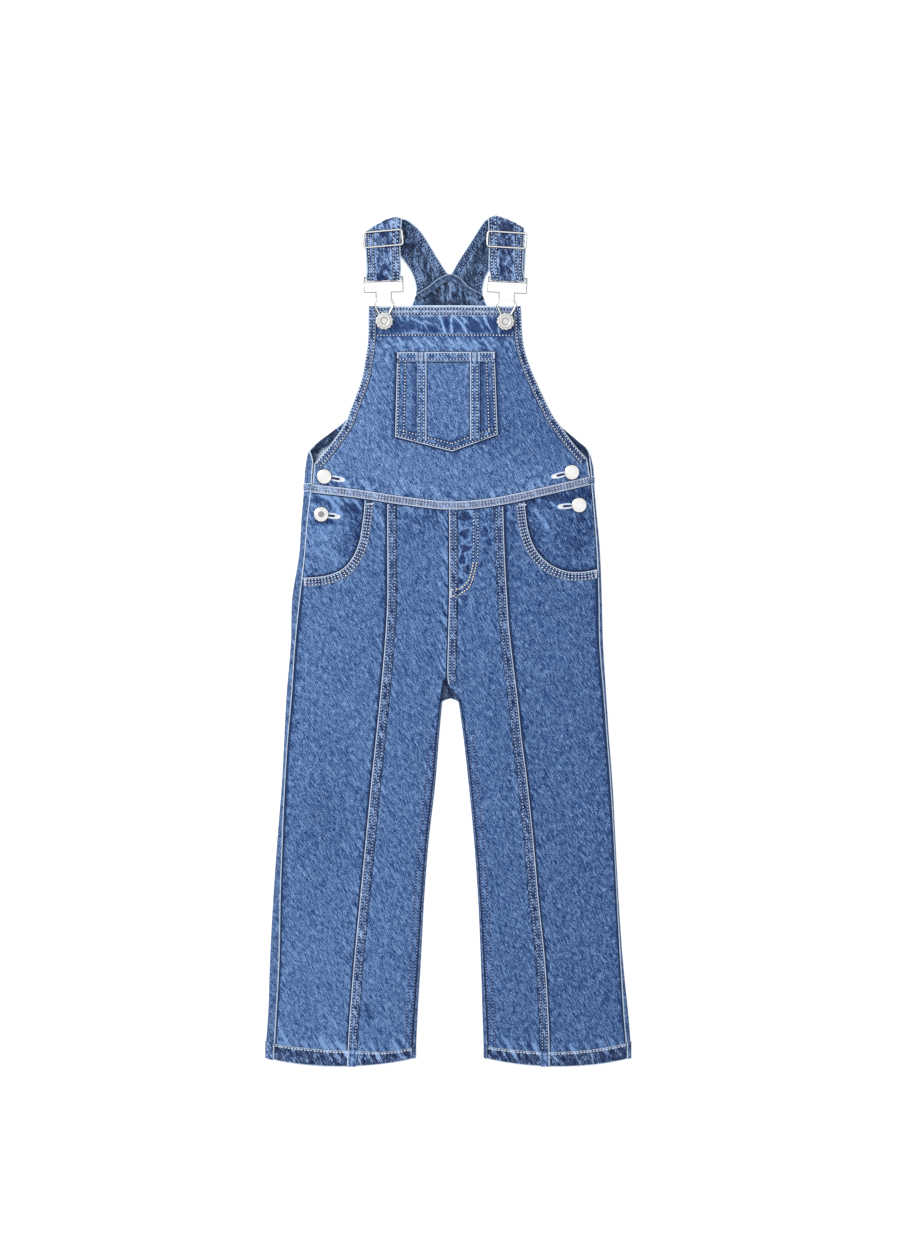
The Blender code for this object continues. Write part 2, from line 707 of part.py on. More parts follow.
def waist_seam():
    """The strip that covers the join between the bib and the legs."""
    left, right = SIDE_EDGE["left"](SIDE_TOP_Y) + SEAM, SIDE_EDGE["right"](SIDE_TOP_Y) - SEAM
    guide = waist_line(left, right, -WAIST_WIDTH / 2)
    plan = strip(guide, WAIST_WIDTH, 28, 1)
    cloth("waist_seam_front", on_front(plan, GAP + TAPE), TAPE, "denim worn")


def bib_pocket():
    bottom = line([POCKET_SIDES[0], POCKET_TIP], [POCKET_TIP, POCKET_SIDES[1]])
    top = line(list(POCKET_TOP))
    start = line([POCKET_SIDES[0], POCKET_TOP[0]])
    end = line([POCKET_SIDES[1], POCKET_TOP[1]])
    plan = patch(bottom, top, start, end, 8, 7)
    cloth("bib_pocket", on_front(plan, GAP + DENIM), DENIM)

    above = GAP + DENIM + GAP + TAPE
    hem_share = 1 - POCKET_HEM / (POCKET_TOP[0][1] - POCKET_SIDES[0][1])
    guide = line([tuple(start(hem_share)), tuple(end(hem_share))])
    cloth("pocket_hem", on_front(strip(guide, POCKET_HEM, 8, 1), above), TAPE, "denim worn")
    for side, x in zip(SIDE, POCKET_SEAM_X):
        edge_x, edge_y = zip(POCKET_SIDES[0], POCKET_TIP, POCKET_SIDES[1])
        low = np.interp(x + POCKET_STRIP / 2, edge_x, edge_y) + POCKET_STRIP_FOOT
        guide = line([(x, low), (x, POCKET_TOP[0][1] - POCKET_HEM - GAP)])
        plan = strip(guide, POCKET_STRIP, 7, -1)
        cloth(f"pocket_seam_{side}", on_front(plan, above), TAPE, "denim worn")


# ---------------------------------------------------------------- back


def rolled(wrap, amount, lift=0.0):
    """Where the cloth goes past the table at a side: (outwards, up) from where it leaves the table.

    It turns up a quarter circle, then over on to the front as far as `wrap` inside the outline.
    `amount` 1 is rolled all the way, and less opens the roll until 0 lies flat, of the same length.
    """
    radius = EDGE_RADIUS + lift / 2
    path = []
    for k in range(4):
        angle = math.radians(30 * k)
        path.append((radius * math.sin(angle), radius * (1 - math.cos(angle))))
    for share in (0.12, 0.4, 0.8, 1):
        d = wrap * share
        path.append((radius - d, rise(d) + lift * min(1, 0.5 + d / EDGE_RADIUS / 2)))
    steps = np.diff(np.array(path), axis=0)
    heading = amount * np.arctan2(steps[:, 1], steps[:, 0])
    length = np.hypot(*steps.T)
    steps = np.stack([length * np.cos(heading), length * np.sin(heading)], axis=1)
    return np.concatenate([[(0, 0)], np.cumsum(steps, axis=0)])


def side_points(outline, direction, wrap, amount, lift=0.0):
    """(x, z) of a side's cloth from the table outwards, its furthest point on the outline."""
    path = rolled(wrap, amount, lift)
    foot = outline - direction * path[:, 0].max()
    return [(foot + direction * a, z) for a, z in path]


def ring(first, second, flats):
    """(x, z) right round from the end of one side's cloth to the end of the other's."""
    between = [
        (mix(first[0][0], second[0][0], t), 0.0) for t in np.linspace(0, 1, flats + 1)[1:-1]
    ]
    return list(reversed(first)) + between + list(second)


def inner_roll(side, y):
    """How far the back is rolled at its inner side, and where: flat at the centre seam above."""
    amount = turn_in((CROTCH_Y - y) / CROTCH_TURN)
    seam_x = CENTRE_BACK_X + OUTWARD[side] * SEAM
    return amount, mix(seam_x, INNER_OUTLINE[side](y), math.sqrt(amount))


def back_section(side, y, lift=0.0):
    """One ring of a leg's back, from the side seam round to the inseam or the centre seam."""
    out = OUTWARD[side]
    wrap = abs(OUTLINE[side](y) - SIDE_EDGE[side](y)) - ROLL_SEAM
    outer = side_points(OUTLINE[side](y) + out * lift * 0.6, out, wrap, 1.0, lift)
    amount, inner_x = inner_roll(side, y)
    ease = CROTCH_EASE * math.exp(min(0, y - CROTCH_Y) / CROTCH_TURN)
    wrap = abs(INNER_OUTLINE[side](y) - INSEAM[side](y)) - ROLL_SEAM - ease
    inner = side_points(inner_x - out * lift * 0.6, -out, wrap, amount, lift)
    return ring(outer, inner, 5)


def waist_back(x):
    return WAIST_BACK_Y + WAIST_BACK_SLOPE * x


BACK_HEIGHTS = (
    -384, -368, -340, -300, -260, -220, -180, -140, -105, -80, -68, -61, -58.5, -56.5, -55.3, -54.4,
    -48, -36, -15, 12, 40, 68, 96, 124, 150,
)


def back_leg(side):
    rows = []
    for y in BACK_HEIGHTS:
        foot = turn_in((HEM_FADE_Y - y) / (HEM_FADE_Y - BACK_HEIGHTS[0]))
        head = turn_in((y - WAIST_FADE_Y) / (WAIST_BACK_Y - WAIST_FADE_Y))
        row = []
        for x, z in back_section(side, y):
            hem_shift = (hem_top(side, x) + GAP - BACK_HEIGHTS[0]) * foot
            waist_shift = (waist_back(x) - WAIST_BACK_Y - SEAM) * head
            row.append((x, y + hem_shift + waist_shift, z))
        rows.append(row)
    cloth(f"back_leg_{side}", rows, DENIM, face_down=True)


def hems(side):
    """The turned hem of a leg, in the halves that belong to its front and its back."""
    middle_y = HEM_SIDE_Y + HEM_DEPTH / 2
    section = back_section(side, middle_y, HEM_LIFT)
    rows = []
    for t in (0, 0.5, 1):
        rows.append([(x, hem_bottom(side, x) + HEM_DEPTH * t, z) for x, z in section])
    cloth(f"hem_back_{side}", rows, HEM, "denim worn", face_down=True)

    out = OUTWARD[side]
    outer_x = SIDE_EDGE[side](middle_y) - out * ROLL_SEAM
    inner_x = INSEAM[side](middle_y) + out * ROLL_SEAM
    section = [(x, front(x, middle_y) + HEM_LIFT) for x in mix(outer_x, inner_x, np.array(HEM_SHARES))]
    rows = []
    for t in (0, 0.5, 1):
        rows.append([(x, hem_bottom(side, x) + HEM_DEPTH * t, z) for x, z in section])
    cloth(f"hem_front_{side}", rows, HEM, "denim worn")


def bodice_top(x):
    low, left, right, _ = BODICE[-1]
    return np.interp(x, [left, BODICE_PEAK[0], right], [low, BODICE_PEAK[1], low])


def back_bodice():
    """The back above the waist: it narrows to a peak where the straps start."""
    waist_x = {s: OUTLINE[s](SIDE_TOP_Y) for s in SIDE}
    wrap = {s: abs(waist_x[s] - SIDE_EDGE[s](SIDE_TOP_Y)) - ROLL_SEAM for s in SIDE}
    top_y = BODICE[-1][0]
    rows = []
    for y, left_x, right_x, amount in [(WAIST_BACK_Y, waist_x["left"], waist_x["right"], 1.0)] + BODICE:
        left = side_points(left_x, -1, wrap["left"], amount)
        right = side_points(right_x, 1, wrap["right"], amount)
        foot = 1 - turn_in((y - WAIST_BACK_Y) / BODICE_FOOT_FADE)
        head = turn_in((y - BODICE_HEAD_Y) / (top_y - BODICE_HEAD_Y))
        row = []
        for x, z in ring(left, right, 8):
            shift = (waist_back(x) + SEAM - WAIST_BACK_Y) * foot + (bodice_top(x) - top_y) * head
            row.append((x, y + shift, z))
        rows.append(row)
    cloth("back_bodice", rows, DENIM, face_down=True)

    for side in SIDE:
        edge = BODICE_COLUMNS.index(side)
        run = [np.array((row[edge], row[0])) for row in BODICE if row[0] > BACK_BINDING_LOW_Y]
        run[-1] = mix(run[-2], run[-1], BACK_BINDING_END)
        plan = strip(line(run), BINDING_WIDTH, 12, OUTWARD[side])
        rows = [[(x, y, DENIM + GAP + TAPE) for x, y in row] for row in plan]
        cloth(f"back_binding_{side}", rows, TAPE, "denim inside")


# ---------------------------------------------------------------- straps and hardware


def roll_rows(edge_pair, before, after, radius, height, upwards):
    """Rows of a strap round a fold: from `before` over the fold line to `after`."""
    sign = 1 if upwards else -1
    rows = []
    for degrees in (-90, -60, -30, 0, 30, 60, 90):
        angle = math.radians(degrees)
        toward = before if degrees < 0 else after
        back_by = radius * (1 - math.cos(angle))
        row = []
        for (x, y), (dx, dy) in zip(edge_pair, toward):
            row.append((x + dx * back_by, y + dy * back_by, height + sign * radius * math.sin(angle)))
        rows.append(row)
    return rows


def unit(from_pair, to_pair):
    """Directions from each point of one pair to the matching point of the other."""
    found = []
    for a, b in zip(from_pair, to_pair):
        step = np.subtract(b, a)
        found.append(tuple(step / np.hypot(*step)))
    return found


def pair(row):
    """A strap's outer and inner plan points from a row of its table."""
    at = dict(zip(STRAP_COLUMNS, row))
    return (at["outer_x"], at["outer_y"]), (at["inner_x"], at["inner_y"])


def strap(side):
    """From the bodice over the shoulder fold, down the front, round the clip's bar and back up."""
    rows = []
    for row in STRAP_BACK[side]:
        rows.append([(x, y, 0.0) for x, y in pair(row)])
    fold = pair(STRAP_FOLD[side])
    front_rows = [pair(row) for row in STRAP_FRONT[side]]
    rows += roll_rows(
        fold, unit(fold, pair(STRAP_BACK[side][-1])), unit(fold, front_rows[0]),
        FOLD_RADIUS, FOLD_RADIUS, True,
    )
    rows += [[(*a, STRAP_TOP), (*b, STRAP_TOP)] for a, b in front_rows]

    bx, by, turn = CLIP[side]
    place = Matrix.Translation((bx, by, 0)) @ Matrix.Rotation(math.radians(turn), 4, "Z")
    bar = CLIP_PLATE_LOW + CLIP_PLATE[1] - CLIP_BAR / 2
    half = STRAP_WIDTH / 2
    out = OUTWARD[side]
    low = bar - CLIP_TURN
    ends = [tuple((place @ Vector((s * half, low, 0)))[:2]) for s in (out, -out)]
    up = place.to_3x3() @ Vector((0, 1, 0))
    upwards = [(up.x, up.y)] * 2
    rows += roll_rows(ends, upwards, upwards, CLIP_TURN, CLIP_Z, False)
    for share in (0.5, 1.0):
        rows.append([
            (x + up.x * RETURN_LENGTH * share, y + up.y * RETURN_LENGTH * share, CLIP_Z - CLIP_TURN)
            for x, y in ends
        ])
    wide = []
    for a, b in rows:
        wide.append([tuple(mix(np.array(a), np.array(b), t)) for t in (0, 0.5, 1)])
    cloth(f"strap_{side}", wide, STRAP, face_down=True)


def slider(side):
    """A wire frame over the strap, and the bar under it whose ends hook round the frame."""
    x, y, turn = SLIDER[side]
    place = Matrix.Translation(Vector((x, y, 0)) * MM) @ Matrix.Rotation(math.radians(turn), 4, "Z")
    half_x, half_y = SLIDER_SIZE[0] / 2, SLIDER_SIZE[1] / 2
    top = STRAP_TOP + GAP + WIRE / 2
    points = []
    for cx, cy, start in ((1, 1, 0), (-1, 1, 90), (-1, -1, 180), (1, -1, 270)):
        for step in (0, 30, 60, 90):
            angle = math.radians(start + step)
            px = cx * (half_x - SLIDER_CORNER) + SLIDER_CORNER * math.cos(angle)
            py = cy * (half_y - SLIDER_CORNER) + SLIDER_CORNER * math.sin(angle)
            points.append((px, py, top))
    frame = keep(f"slider_{side}", wire(f"slider_{side}", points, WIRE, True), "nickel")
    frame.matrix_world = place
    under = STRAP_TOP - STRAP - 3 * GAP - WIRE / 2
    hook = half_x + SLIDER_HOOK
    bar_points = [(-hook, 0, top), (-hook, 0, under + SLIDER_HOOK_BEND)]
    bar_points.append((-hook + SLIDER_HOOK_BEND, 0, under))
    bar_points += [(-px, py, pz) for px, py, pz in reversed(bar_points)]
    bar = guide_object(f"slider bar {side}", wire("slider bar", bar_points, SLIDER_BAR, False), place)
    combine(frame, bar, "UNION")


def clip(side):
    """A plate with a slot for the strap and a wire loop that hooks under the button's head."""
    x, y, turn = CLIP[side]
    place = Matrix.Translation(Vector((x, y, 0)) * MM) @ Matrix.Rotation(math.radians(turn), 4, "Z")
    wide, tall, thick = CLIP_PLATE
    neck_wide, neck_tall = CLIP_NECK
    low, high = CLIP_Z - thick / 2, CLIP_Z + thick / 2
    foot, head = CLIP_PLATE_LOW, CLIP_PLATE_LOW + tall
    low_cut, high_cut = CLIP_CORNERS
    right_side = [
        (neck_wide / 2, foot - neck_tall), (neck_wide / 2, foot - 1), (neck_wide / 2 + 1, foot),
        (wide / 2 - low_cut, foot), (wide / 2, foot + low_cut),
        (wide / 2, head - high_cut), (wide / 2 - high_cut, head),
    ]
    outline = right_side + [(-px, py) for px, py in reversed(right_side)]
    plate = keep(f"clip_{side}", slab("plate", outline, low, high), "nickel")
    plate.matrix_world = place
    slot_wide, slot_tall = CLIP_SLOT
    slot_top = head - CLIP_BAR
    corners = [
        (-slot_wide / 2, slot_top - slot_tall), (slot_wide / 2, slot_top - slot_tall),
        (slot_wide / 2, slot_top), (-slot_wide / 2, slot_top),
    ]
    slot = guide_object(f"clip slot {side}", slab("slot", corners, low - 1, high + 1), place)
    combine(plate, slot, "DIFFERENCE")
    right = [(px, py, CLIP_Z) for px, py in CLIP_LOOP]
    left = [(-px, py, CLIP_Z) for px, py in reversed(CLIP_LOOP)]
    loop = right + [(*CLIP_LOOP_END, CLIP_Z)] + left
    loop_object = guide_object(f"clip loop {side}", wire("loop", loop, WIRE, False), place)
    combine(plate, loop_object, "UNION")


def buttons():
    for side in SIDE:
        x, y, _ = CLIP[side]
        turned(f"bib_button_{side}", BIB_BUTTON_PROFILE, (x, y, front(x, y) + GAP))
    for name, (x, y, lean) in SIDE_BUTTONS.items():
        lift = SIDE_BUTTON_STEM * math.sin(math.radians(abs(lean)))
        turned(name, SIDE_BUTTON_PROFILE, (x, y, front(x, y) + GAP + lift), lean)


# ---------------------------------------------------------------- the whole garment


def clear():
    for item in list(bpy.data.objects):
        bpy.data.objects.remove(item)
    for name in ("kids dungarees", "cutters"):
        bpy.context.scene.collection.children.link(bpy.data.collections.new(name))


def build():
    clear()
    for side in SIDE:
        front_legs(side)
        pocket_facings(side)
        front_strips(side)
        back_leg(side)
        hems(side)
        strap(side)
        slider(side)
        clip(side)
    centre_front_seam()
    bib()
    waist_seam()
    bib_pocket()
    back_bodice()
    buttons()


build()
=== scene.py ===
# %% [markdown]
# # Kids dungarees in washed denim
# The dungarees of a small child lie flat on a table, front up, with the straps folded over and clipped to the
# bib. The frame holds each sewn piece as a plain solid wall. This lesson makes the same pieces again as fine
# cloth, with creases, worn edges and real stitches, and puts them where the solids are.

# %% Load the frame
import math

import bmesh
import bpy
import numpy as np
from numpy.linalg import norm
from mathutils import Matrix, Vector


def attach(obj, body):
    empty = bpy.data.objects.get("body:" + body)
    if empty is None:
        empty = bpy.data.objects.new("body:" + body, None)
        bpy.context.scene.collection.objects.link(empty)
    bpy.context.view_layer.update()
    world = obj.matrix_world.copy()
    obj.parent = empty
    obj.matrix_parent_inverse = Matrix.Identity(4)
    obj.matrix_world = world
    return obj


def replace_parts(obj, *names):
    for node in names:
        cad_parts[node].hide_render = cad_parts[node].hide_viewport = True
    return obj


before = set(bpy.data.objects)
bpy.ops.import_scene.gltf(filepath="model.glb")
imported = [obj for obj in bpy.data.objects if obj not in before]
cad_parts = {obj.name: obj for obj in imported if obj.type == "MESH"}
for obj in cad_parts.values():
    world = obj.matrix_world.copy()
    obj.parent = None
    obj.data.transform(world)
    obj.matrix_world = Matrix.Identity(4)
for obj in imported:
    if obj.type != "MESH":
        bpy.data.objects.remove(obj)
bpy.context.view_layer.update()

MM = 0.001  # the cut is given in millimetres, and meshes are in metres
SIDES = ("left", "right")
OUTWARD = {"left": -1, "right": 1}
print("pieces in the frame:", len(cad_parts))

# %% [markdown]
# ## The cut as tables
# A maker works from a size chart: how wide each piece is at each height. The same tables that shaped the solids
# are repeated here, in millimetres, so that the fine cloth lies exactly where the solids do. A smooth curve is
# read through each column, which needs far fewer numbers than an outline drawn point by point.

# %% Layers of cloth
DENIM = 1.2
TAPE = 0.9
STRAP = 1.8
HEM = 1.9
GAP = 0.3
SEAM = GAP / 2
ROLL_SEAM = 0.26
EDGE_RADIUS = 2.9
CROWN = 4.0
BIB_CROWN = 1.2
CROWN_REACH = 12.0
SAG = 0.3
SAG_FROM = 24.0
SAG_REACH = 30.0
FELL_WIDTH = 8.6
FLY_WIDTH = 7.8
WAIST_WIDTH = 7.6
BINDING_WIDTH = 7.2
POCKET_EDGE_WIDTH = 8.2
FACING_OVERLAP = 6.0
FACING_DROP = DENIM + GAP
FACING_REACH = 20.0
HEM_DEPTH = 13.0
HEM_SIDE_Y = -397.0
HEM_SAG = 8.0
HEM_LIFT = 0.5
HEM_UNEVEN = {"left": (2.7, 3.4, 2.4, -1.6, -2.2), "right": (2.4, 1.9, 0.9, 0.6, -1.4)}  # deeper at the outer side

# %% Sides of the legs and the trunk
SIDE_COLUMNS = ("y", "outline", "edge", "panel_seam")
SIDE = {
    "left": [
        (-405, -175.5, -166, -97), (-360, -172, -163.5, -94), (-303, -170, -160.5, -89.5), (-246, -167, -159.5, -84),
        (-189, -163, -157.5, -78.5), (-132, -158.5, -155, -73), (-94, -156.5, -152.5, -69), (-55, -154.5, -149, -65),
        (2, -150, -145, -60), (40, -149, -141, -58), (87, -142, -136, -58), (120, -140, -133.5, -58),
        (149, -137.5, -130, -58),
    ],
    "right": [
        (-405, 175.5, 171, 97), (-360, 172, 167, 95.5), (-303, 166.5, 163.5, 92), (-246, 162.5, 160.5, 86),
        (-189, 159.5, 157.5, 81), (-132, 156.5, 154, 75), (-94, 153.5, 151, 70), (-55, 151, 148, 66),
        (2, 147.5, 143.5, 59), (40, 146.5, 143, 56), (87, 144.5, 141, 53.5), (120, 141.5, 138.5, 52.5),
        (149, 139, 135.8, 51.5),
    ],
}
SIDE_TOP_Y = SIDE["left"][-1][0]
INNER_COLUMNS = ("y", "inseam", "outline")
INNER = {
    "left": [
        (-405, -35, -31.5), (-360, -32.5, -29.5), (-303, -28.5, -26), (-246, -25, -23), (-189, -20.5, -18.5),
        (-132, -14, -12), (-94, -11, -9), (-54.5, -7.2, -5.5),
    ],
    "right": [
        (-405, 38.5, 34.5), (-360, 36.5, 32.8), (-303, 33.5, 31), (-246, 30.5, 28.5), (-189, 26.5, 24.5),
        (-132, 21, 19), (-94, 16.8, 14.8), (-54.5, 11, 9.5),
    ],
}
CROTCH_Y = -54.5
CROTCH_LEFT = -5.5
CROTCH_RIGHT = 9.5
CROTCH_TURN = 3.2
CROTCH_EASE = 1.1
CENTRE_BACK_X = 2.0
CENTRE_FRONT = {
    "left": [(0.8, 130), (1, 52), (0, 6), (-0.8, -30), (-4.5, -39), (-6.2, -50)],
    "right": [(0.8, 130), (1, 52), (0, 6), (-0.8, -30), (1, -44), (8, -51.2), (11.6, -56.5)],
}
CENTRE_SEAM_END = (0.4, -41.0)

# %% Waist, bib and pockets
WAIST = [
    (-131, 146), (-92, 141.5), (-53, 135.5), (-27, 132), (0, 129.5), (22, 130.5), (44, 133), (82, 141), (111, 147),
    (137, 153.5),
]
WAIST_BACK_Y = 150.0
WAIST_BACK_SLOPE = 0.0236
BIB_COLUMNS = ("y", "edge", "inset")
BIB = {
    "left": [
        (158.5, -128.5, 8.5), (169, -127.5, 8), (186.5, -113, 7), (206.5, -99, 6), (220.5, -93.5, 6), (249, -83, 6),
        (268, -79.5, 6), (287, -76.8, 6), (319.5, -76.3, 6),
    ],
    "right": [
        (160.5, 135, 4), (173.5, 132.5, 4.5), (188, 119.5, 5.5), (210, 103.5, 6), (220.5, 97, 6), (249, 83.5, 6),
        (268, 76, 6), (287, 71.5, 6), (319.5, 69.5, 6),
    ],
}
BIB_TOP_Y = 319.5
BIB_TOP_MIDDLE = (-3.0, 320.3)
POCKET_MOUTH = {
    "left": [
        (-79.5, 139), (-80.2, 123.5), (-81.7, 112), (-84.5, 95.5), (-90.5, 81), (-99.5, 69.8), (-112.5, 63.6),
        (-126, 61.2), (-138.3, 60.6),
    ],
    "right": [
        (72.3, 138.5), (73.5, 123.5), (75.2, 110), (79, 96.5), (86.5, 83), (98.5, 72.4), (113.5, 66.6), (128.5, 66.2),
        (142, 68.6),
    ],
}
POCKET_TOP = ((-48.5, 275.5), (44, 275.5))
POCKET_SIDES = ((-50.5, 195), (47, 197))
POCKET_TIP = (3.5, 181)
POCKET_HEM = 9.0
POCKET_SEAM_X = {"left": -30.0, "right": 20.8}
POCKET_STRIP = 9.2

# %% Back bodice and straps
BODICE_COLUMNS = ("y", "left", "right", "roll")
BODICE = [
    (158, -137, 139, 1), (168, -136, 138, 1), (173, -135.2, 136.8, 0.92), (178, -134, 135.6, 0.72),
    (183, -132, 133.5, 0.45), (188, -126.5, 127.5, 0.18), (194, -119, 120.5, 0), (203, -107.5, 110, 0),
    (215, -94, 98.5, 0), (232, -80.5, 85, 0), (257, -66.5, 68.5, 0), (283, -53, 53.5, 0), (306, -41, 43, 0),
    (330, -31, 33, 0),
]
BODICE_PEAK = (1.5, 348.5)
BODICE_FOOT_FADE = 12.0
BODICE_HEAD_Y = 283.0
STRAP_BACK = {  # rows across a strap: x and y of the outer end, then of the inner one
    "left": [
        (-30.6, 332.2, 1, 349.6), (-31.5, 343.5, -4, 356.5), (-36, 354, -10.5, 367), (-44.5, 366.5, -18.8, 381),
        (-55, 377, -26.8, 393.5),
    ],
    "right": [
        (32.6, 331, 1.8, 349.6), (33.8, 343, 5, 355.5), (38, 353, 11.5, 367), (44.5, 361.5, 17.8, 376),
        (52, 371.5, 24.5, 387),
    ],
}
STRAP_FOLD = {"left": (-79, 386, -43.8, 404.8), "right": (72.8, 389.5, 37.6, 405.2)}
STRAP_FRONT = {
    "left": [(-78.8, 373.5, -45.8, 376.5), (-77.4, 352, -44.6, 353.5)],
    "right": [(71.8, 373.5, 38.9, 376), (71, 353, 38.2, 355.5)],
}
STRAP_WIDTH = 32.8
CLIP_Z = 9.0
CLIP_TURN = 3.0
STRAP_TOP = CLIP_Z + CLIP_TURN
FOLD_RADIUS = STRAP_TOP / 2
RETURN_LENGTH = 34.0
CLIP = {"left": (-60.8, 305.0, 1.5), "right": (54.6, 304.5, -2.5)}
CLIP_PLATE = (38.4, 15.6, 1.4)
CLIP_PLATE_LOW = 27.0
CLIP_BAR = 1.8
SLIDER = {"left": (-61.9, 383.2, 5.0), "right": (55.6, 382.0, -3.6)}
SLIDER_SIZE = (36.6, 14.4)
WIRE = 2.0
SIDE_BUTTONS = {
    "upper_left": (-118, 157, 0),
    "lower_left": (-121, 121, 4),
    "upper_right": (117.6, 161, 0),
    "lower_right": (124.6, 129.8, 0),
}


# %% Read a table as a smooth curve
def mix(a, b, t):
    return a + (b - a) * t


def turn_in(t):
    """0 to 1 with soft ends."""
    t = np.clip(t, 0.0, 1.0)
    return t * t * (3 - 2 * t)


def bell(t):
    """1 at 0, fading softly to 0 on both sides."""
    return np.exp(-(t**2))


def reader(columns, rows, name):
    """A smooth function of a table's first column, through the values of the column `name`."""
    heights = np.array([row[0] for row in rows], float)
    values = np.array([row[columns.index(name)] for row in rows], float)
    slopes = np.gradient(values, heights)
    fine = np.linspace(heights[0], heights[-1], 40 * len(rows))
    i = np.clip(np.searchsorted(heights, fine, side="right") - 1, 0, len(rows) - 2)
    step = heights[i + 1] - heights[i]
    t = (fine - heights[i]) / step
    curve = values[i] * (1 + 2 * t) * (1 - t) ** 2 + slopes[i] * step * t * (1 - t) ** 2
    curve += values[i + 1] * t * t * (3 - 2 * t) + slopes[i + 1] * step * t * t * (t - 1)
    return lambda y: np.interp(y, fine, curve)


def curves(columns, tables):
    """For each further column of a size chart, its curves on the left and on the right."""
    return ({side: reader(columns, tables[side], name) for side in SIDES} for name in columns[1:])


OUTLINE, SIDE_EDGE, PANEL_SEAM = curves(SIDE_COLUMNS, SIDE)
INSEAM, INNER_OUTLINE = curves(INNER_COLUMNS, INNER)
BIB_EDGE, BIB_INSET = curves(BIB_COLUMNS, BIB)
WAIST_Y = reader(("x", "y"), WAIST, "y")
print("hem to bib top:", BIB_TOP_Y - HEM_SIDE_Y, "mm, half hip:", SIDE["right"][8][1] - SIDE["left"][8][1], "mm")

# %% [markdown]
# ## How the front lies
# The trunk and the legs are tubes pressed flat. Where the cloth turns over at a side it makes a small round
# roll, and the front rises from there to a low crown. One function gives that height anywhere on the plan, so
# everything that is sewn on the front can be laid on it by asking for the height below it.

# %% Height of the front
def front_outline(side, y):
    """What the front's height is measured from: the outline, or just outside the bib's edge."""
    bib = BIB_EDGE[side](y) + OUTWARD[side] * BIB_INSET[side](y)
    return mix(OUTLINE[side](y), bib, turn_in((y - SIDE_TOP_Y) / 8))


def inset(x, y):
    """How far a plan point lies inside the outline."""
    sides = np.minimum(x - front_outline("left", y), front_outline("right", y) - x)
    between_legs = np.where(x < CENTRE_BACK_X, INNER_OUTLINE["left"](y) - x, x - INNER_OUTLINE["right"](y))
    beside = np.maximum(np.maximum(CROTCH_LEFT - x, x - CROTCH_RIGHT), 0)
    gap = np.where(y < CROTCH_Y, between_legs, np.hypot(beside, y - CROTCH_Y))
    return np.maximum(0.0, np.minimum(sides, gap))


def rise(d, crown=CROWN, sag=SAG):
    """Height of the front cloth's face at `d` inside the outline."""
    rounded = np.sqrt(np.maximum(0, 1 - (1 - np.minimum(d / EDGE_RADIUS, 1)) ** 2))
    swell = 1 - np.exp(-d / CROWN_REACH) - sag * turn_in((d - SAG_FROM) / SAG_REACH)
    return EDGE_RADIUS * (1 + rounded) + crown * swell


def front(x, y):
    up_bib = turn_in((y - WAIST_BACK_Y) / (BIB_TOP_Y - WAIST_BACK_Y))
    return rise(inset(x, y), mix(CROWN, BIB_CROWN, up_bib), mix(SAG, 0, up_bib))


def leg_fraction(side, x, y):
    """0 at the outer side of a leg, 1 at its inner side."""
    outer, inner = OUTLINE[side](y), INNER_OUTLINE[side](y)
    return np.clip((x - outer) / (inner - outer), 0.0, 1.0)


def hem_bottom(side, x):
    t = leg_fraction(side, x, HEM_SIDE_Y)
    return HEM_SIDE_Y - HEM_SAG * 4 * t * (1 - t)


def hem_top(side, x):
    t = leg_fraction(side, x, HEM_SIDE_Y)
    return hem_bottom(side, x) + HEM_DEPTH + np.interp(t, (0.0, 0.27, 0.55, 0.8, 1.0), HEM_UNEVEN[side])


def waist_back(x):
    return WAIST_BACK_Y + WAIST_BACK_SLOPE * x


# %% [markdown]
# ## Lines on the cloth
# Seams, edges and rows of stitches all follow lines on the plan. A line here is a function from 0 to 1, evenly
# by length, made from smooth runs of points that meet at corners. Between four such lines a patch fills in the
# cloth, and beside one line a band does.

# %% Lines, patches and bands
MEASURE_POINTS = 160  # how finely a line is walked to find the place nearest to a point


def line(*runs):
    """A function from 0..1 to plan points along smooth runs of points, joined by corners."""
    dense = []
    for run in runs:
        run = np.array(run, float)
        if len(run) > 2:
            table = [(k, *point) for k, point in enumerate(run)]
            fine = np.linspace(0, len(run) - 1, 12 * (len(run) - 1) + 1)
            run = np.stack([reader(("t", 0, 1), table, k)(fine) for k in (0, 1)], axis=1)
        dense.append(run)
    dense = np.concatenate(dense)
    length = np.concatenate([[0], np.cumsum(np.hypot(*np.diff(dense, axis=0).T))])

    def at(t):
        return np.stack([np.interp(t, length / length[-1], dense[:, k]) for k in (0, 1)], axis=-1)

    at.length = length[-1]
    return at


def patch(bottom, top, start, end, across, up):
    """Plan points of a grid inside four lines."""
    u, v = across[None, :, None], up[:, None, None]
    between = mix(bottom(across)[None], top(across)[None], v) + mix(start(up)[:, None], end(up)[:, None], u)
    low, high = mix(bottom(0), bottom(1), u), mix(top(0), top(1), u)
    return between - mix(low, high, v)


def sideways(guide, t):
    """Unit directions along a line and to the left of it."""
    ahead = guide(np.minimum(t + 0.01, 1)) - guide(np.maximum(t - 0.01, 0))
    ahead /= np.hypot(ahead[..., 0], ahead[..., 1])[..., None]
    return ahead, np.stack([-ahead[..., 1], ahead[..., 0]], axis=-1)


def beside(guide, t, offset):
    """Plan points along a line, moved to its left by `offset`."""
    return guide(t) + sideways(guide, t)[1] * offset


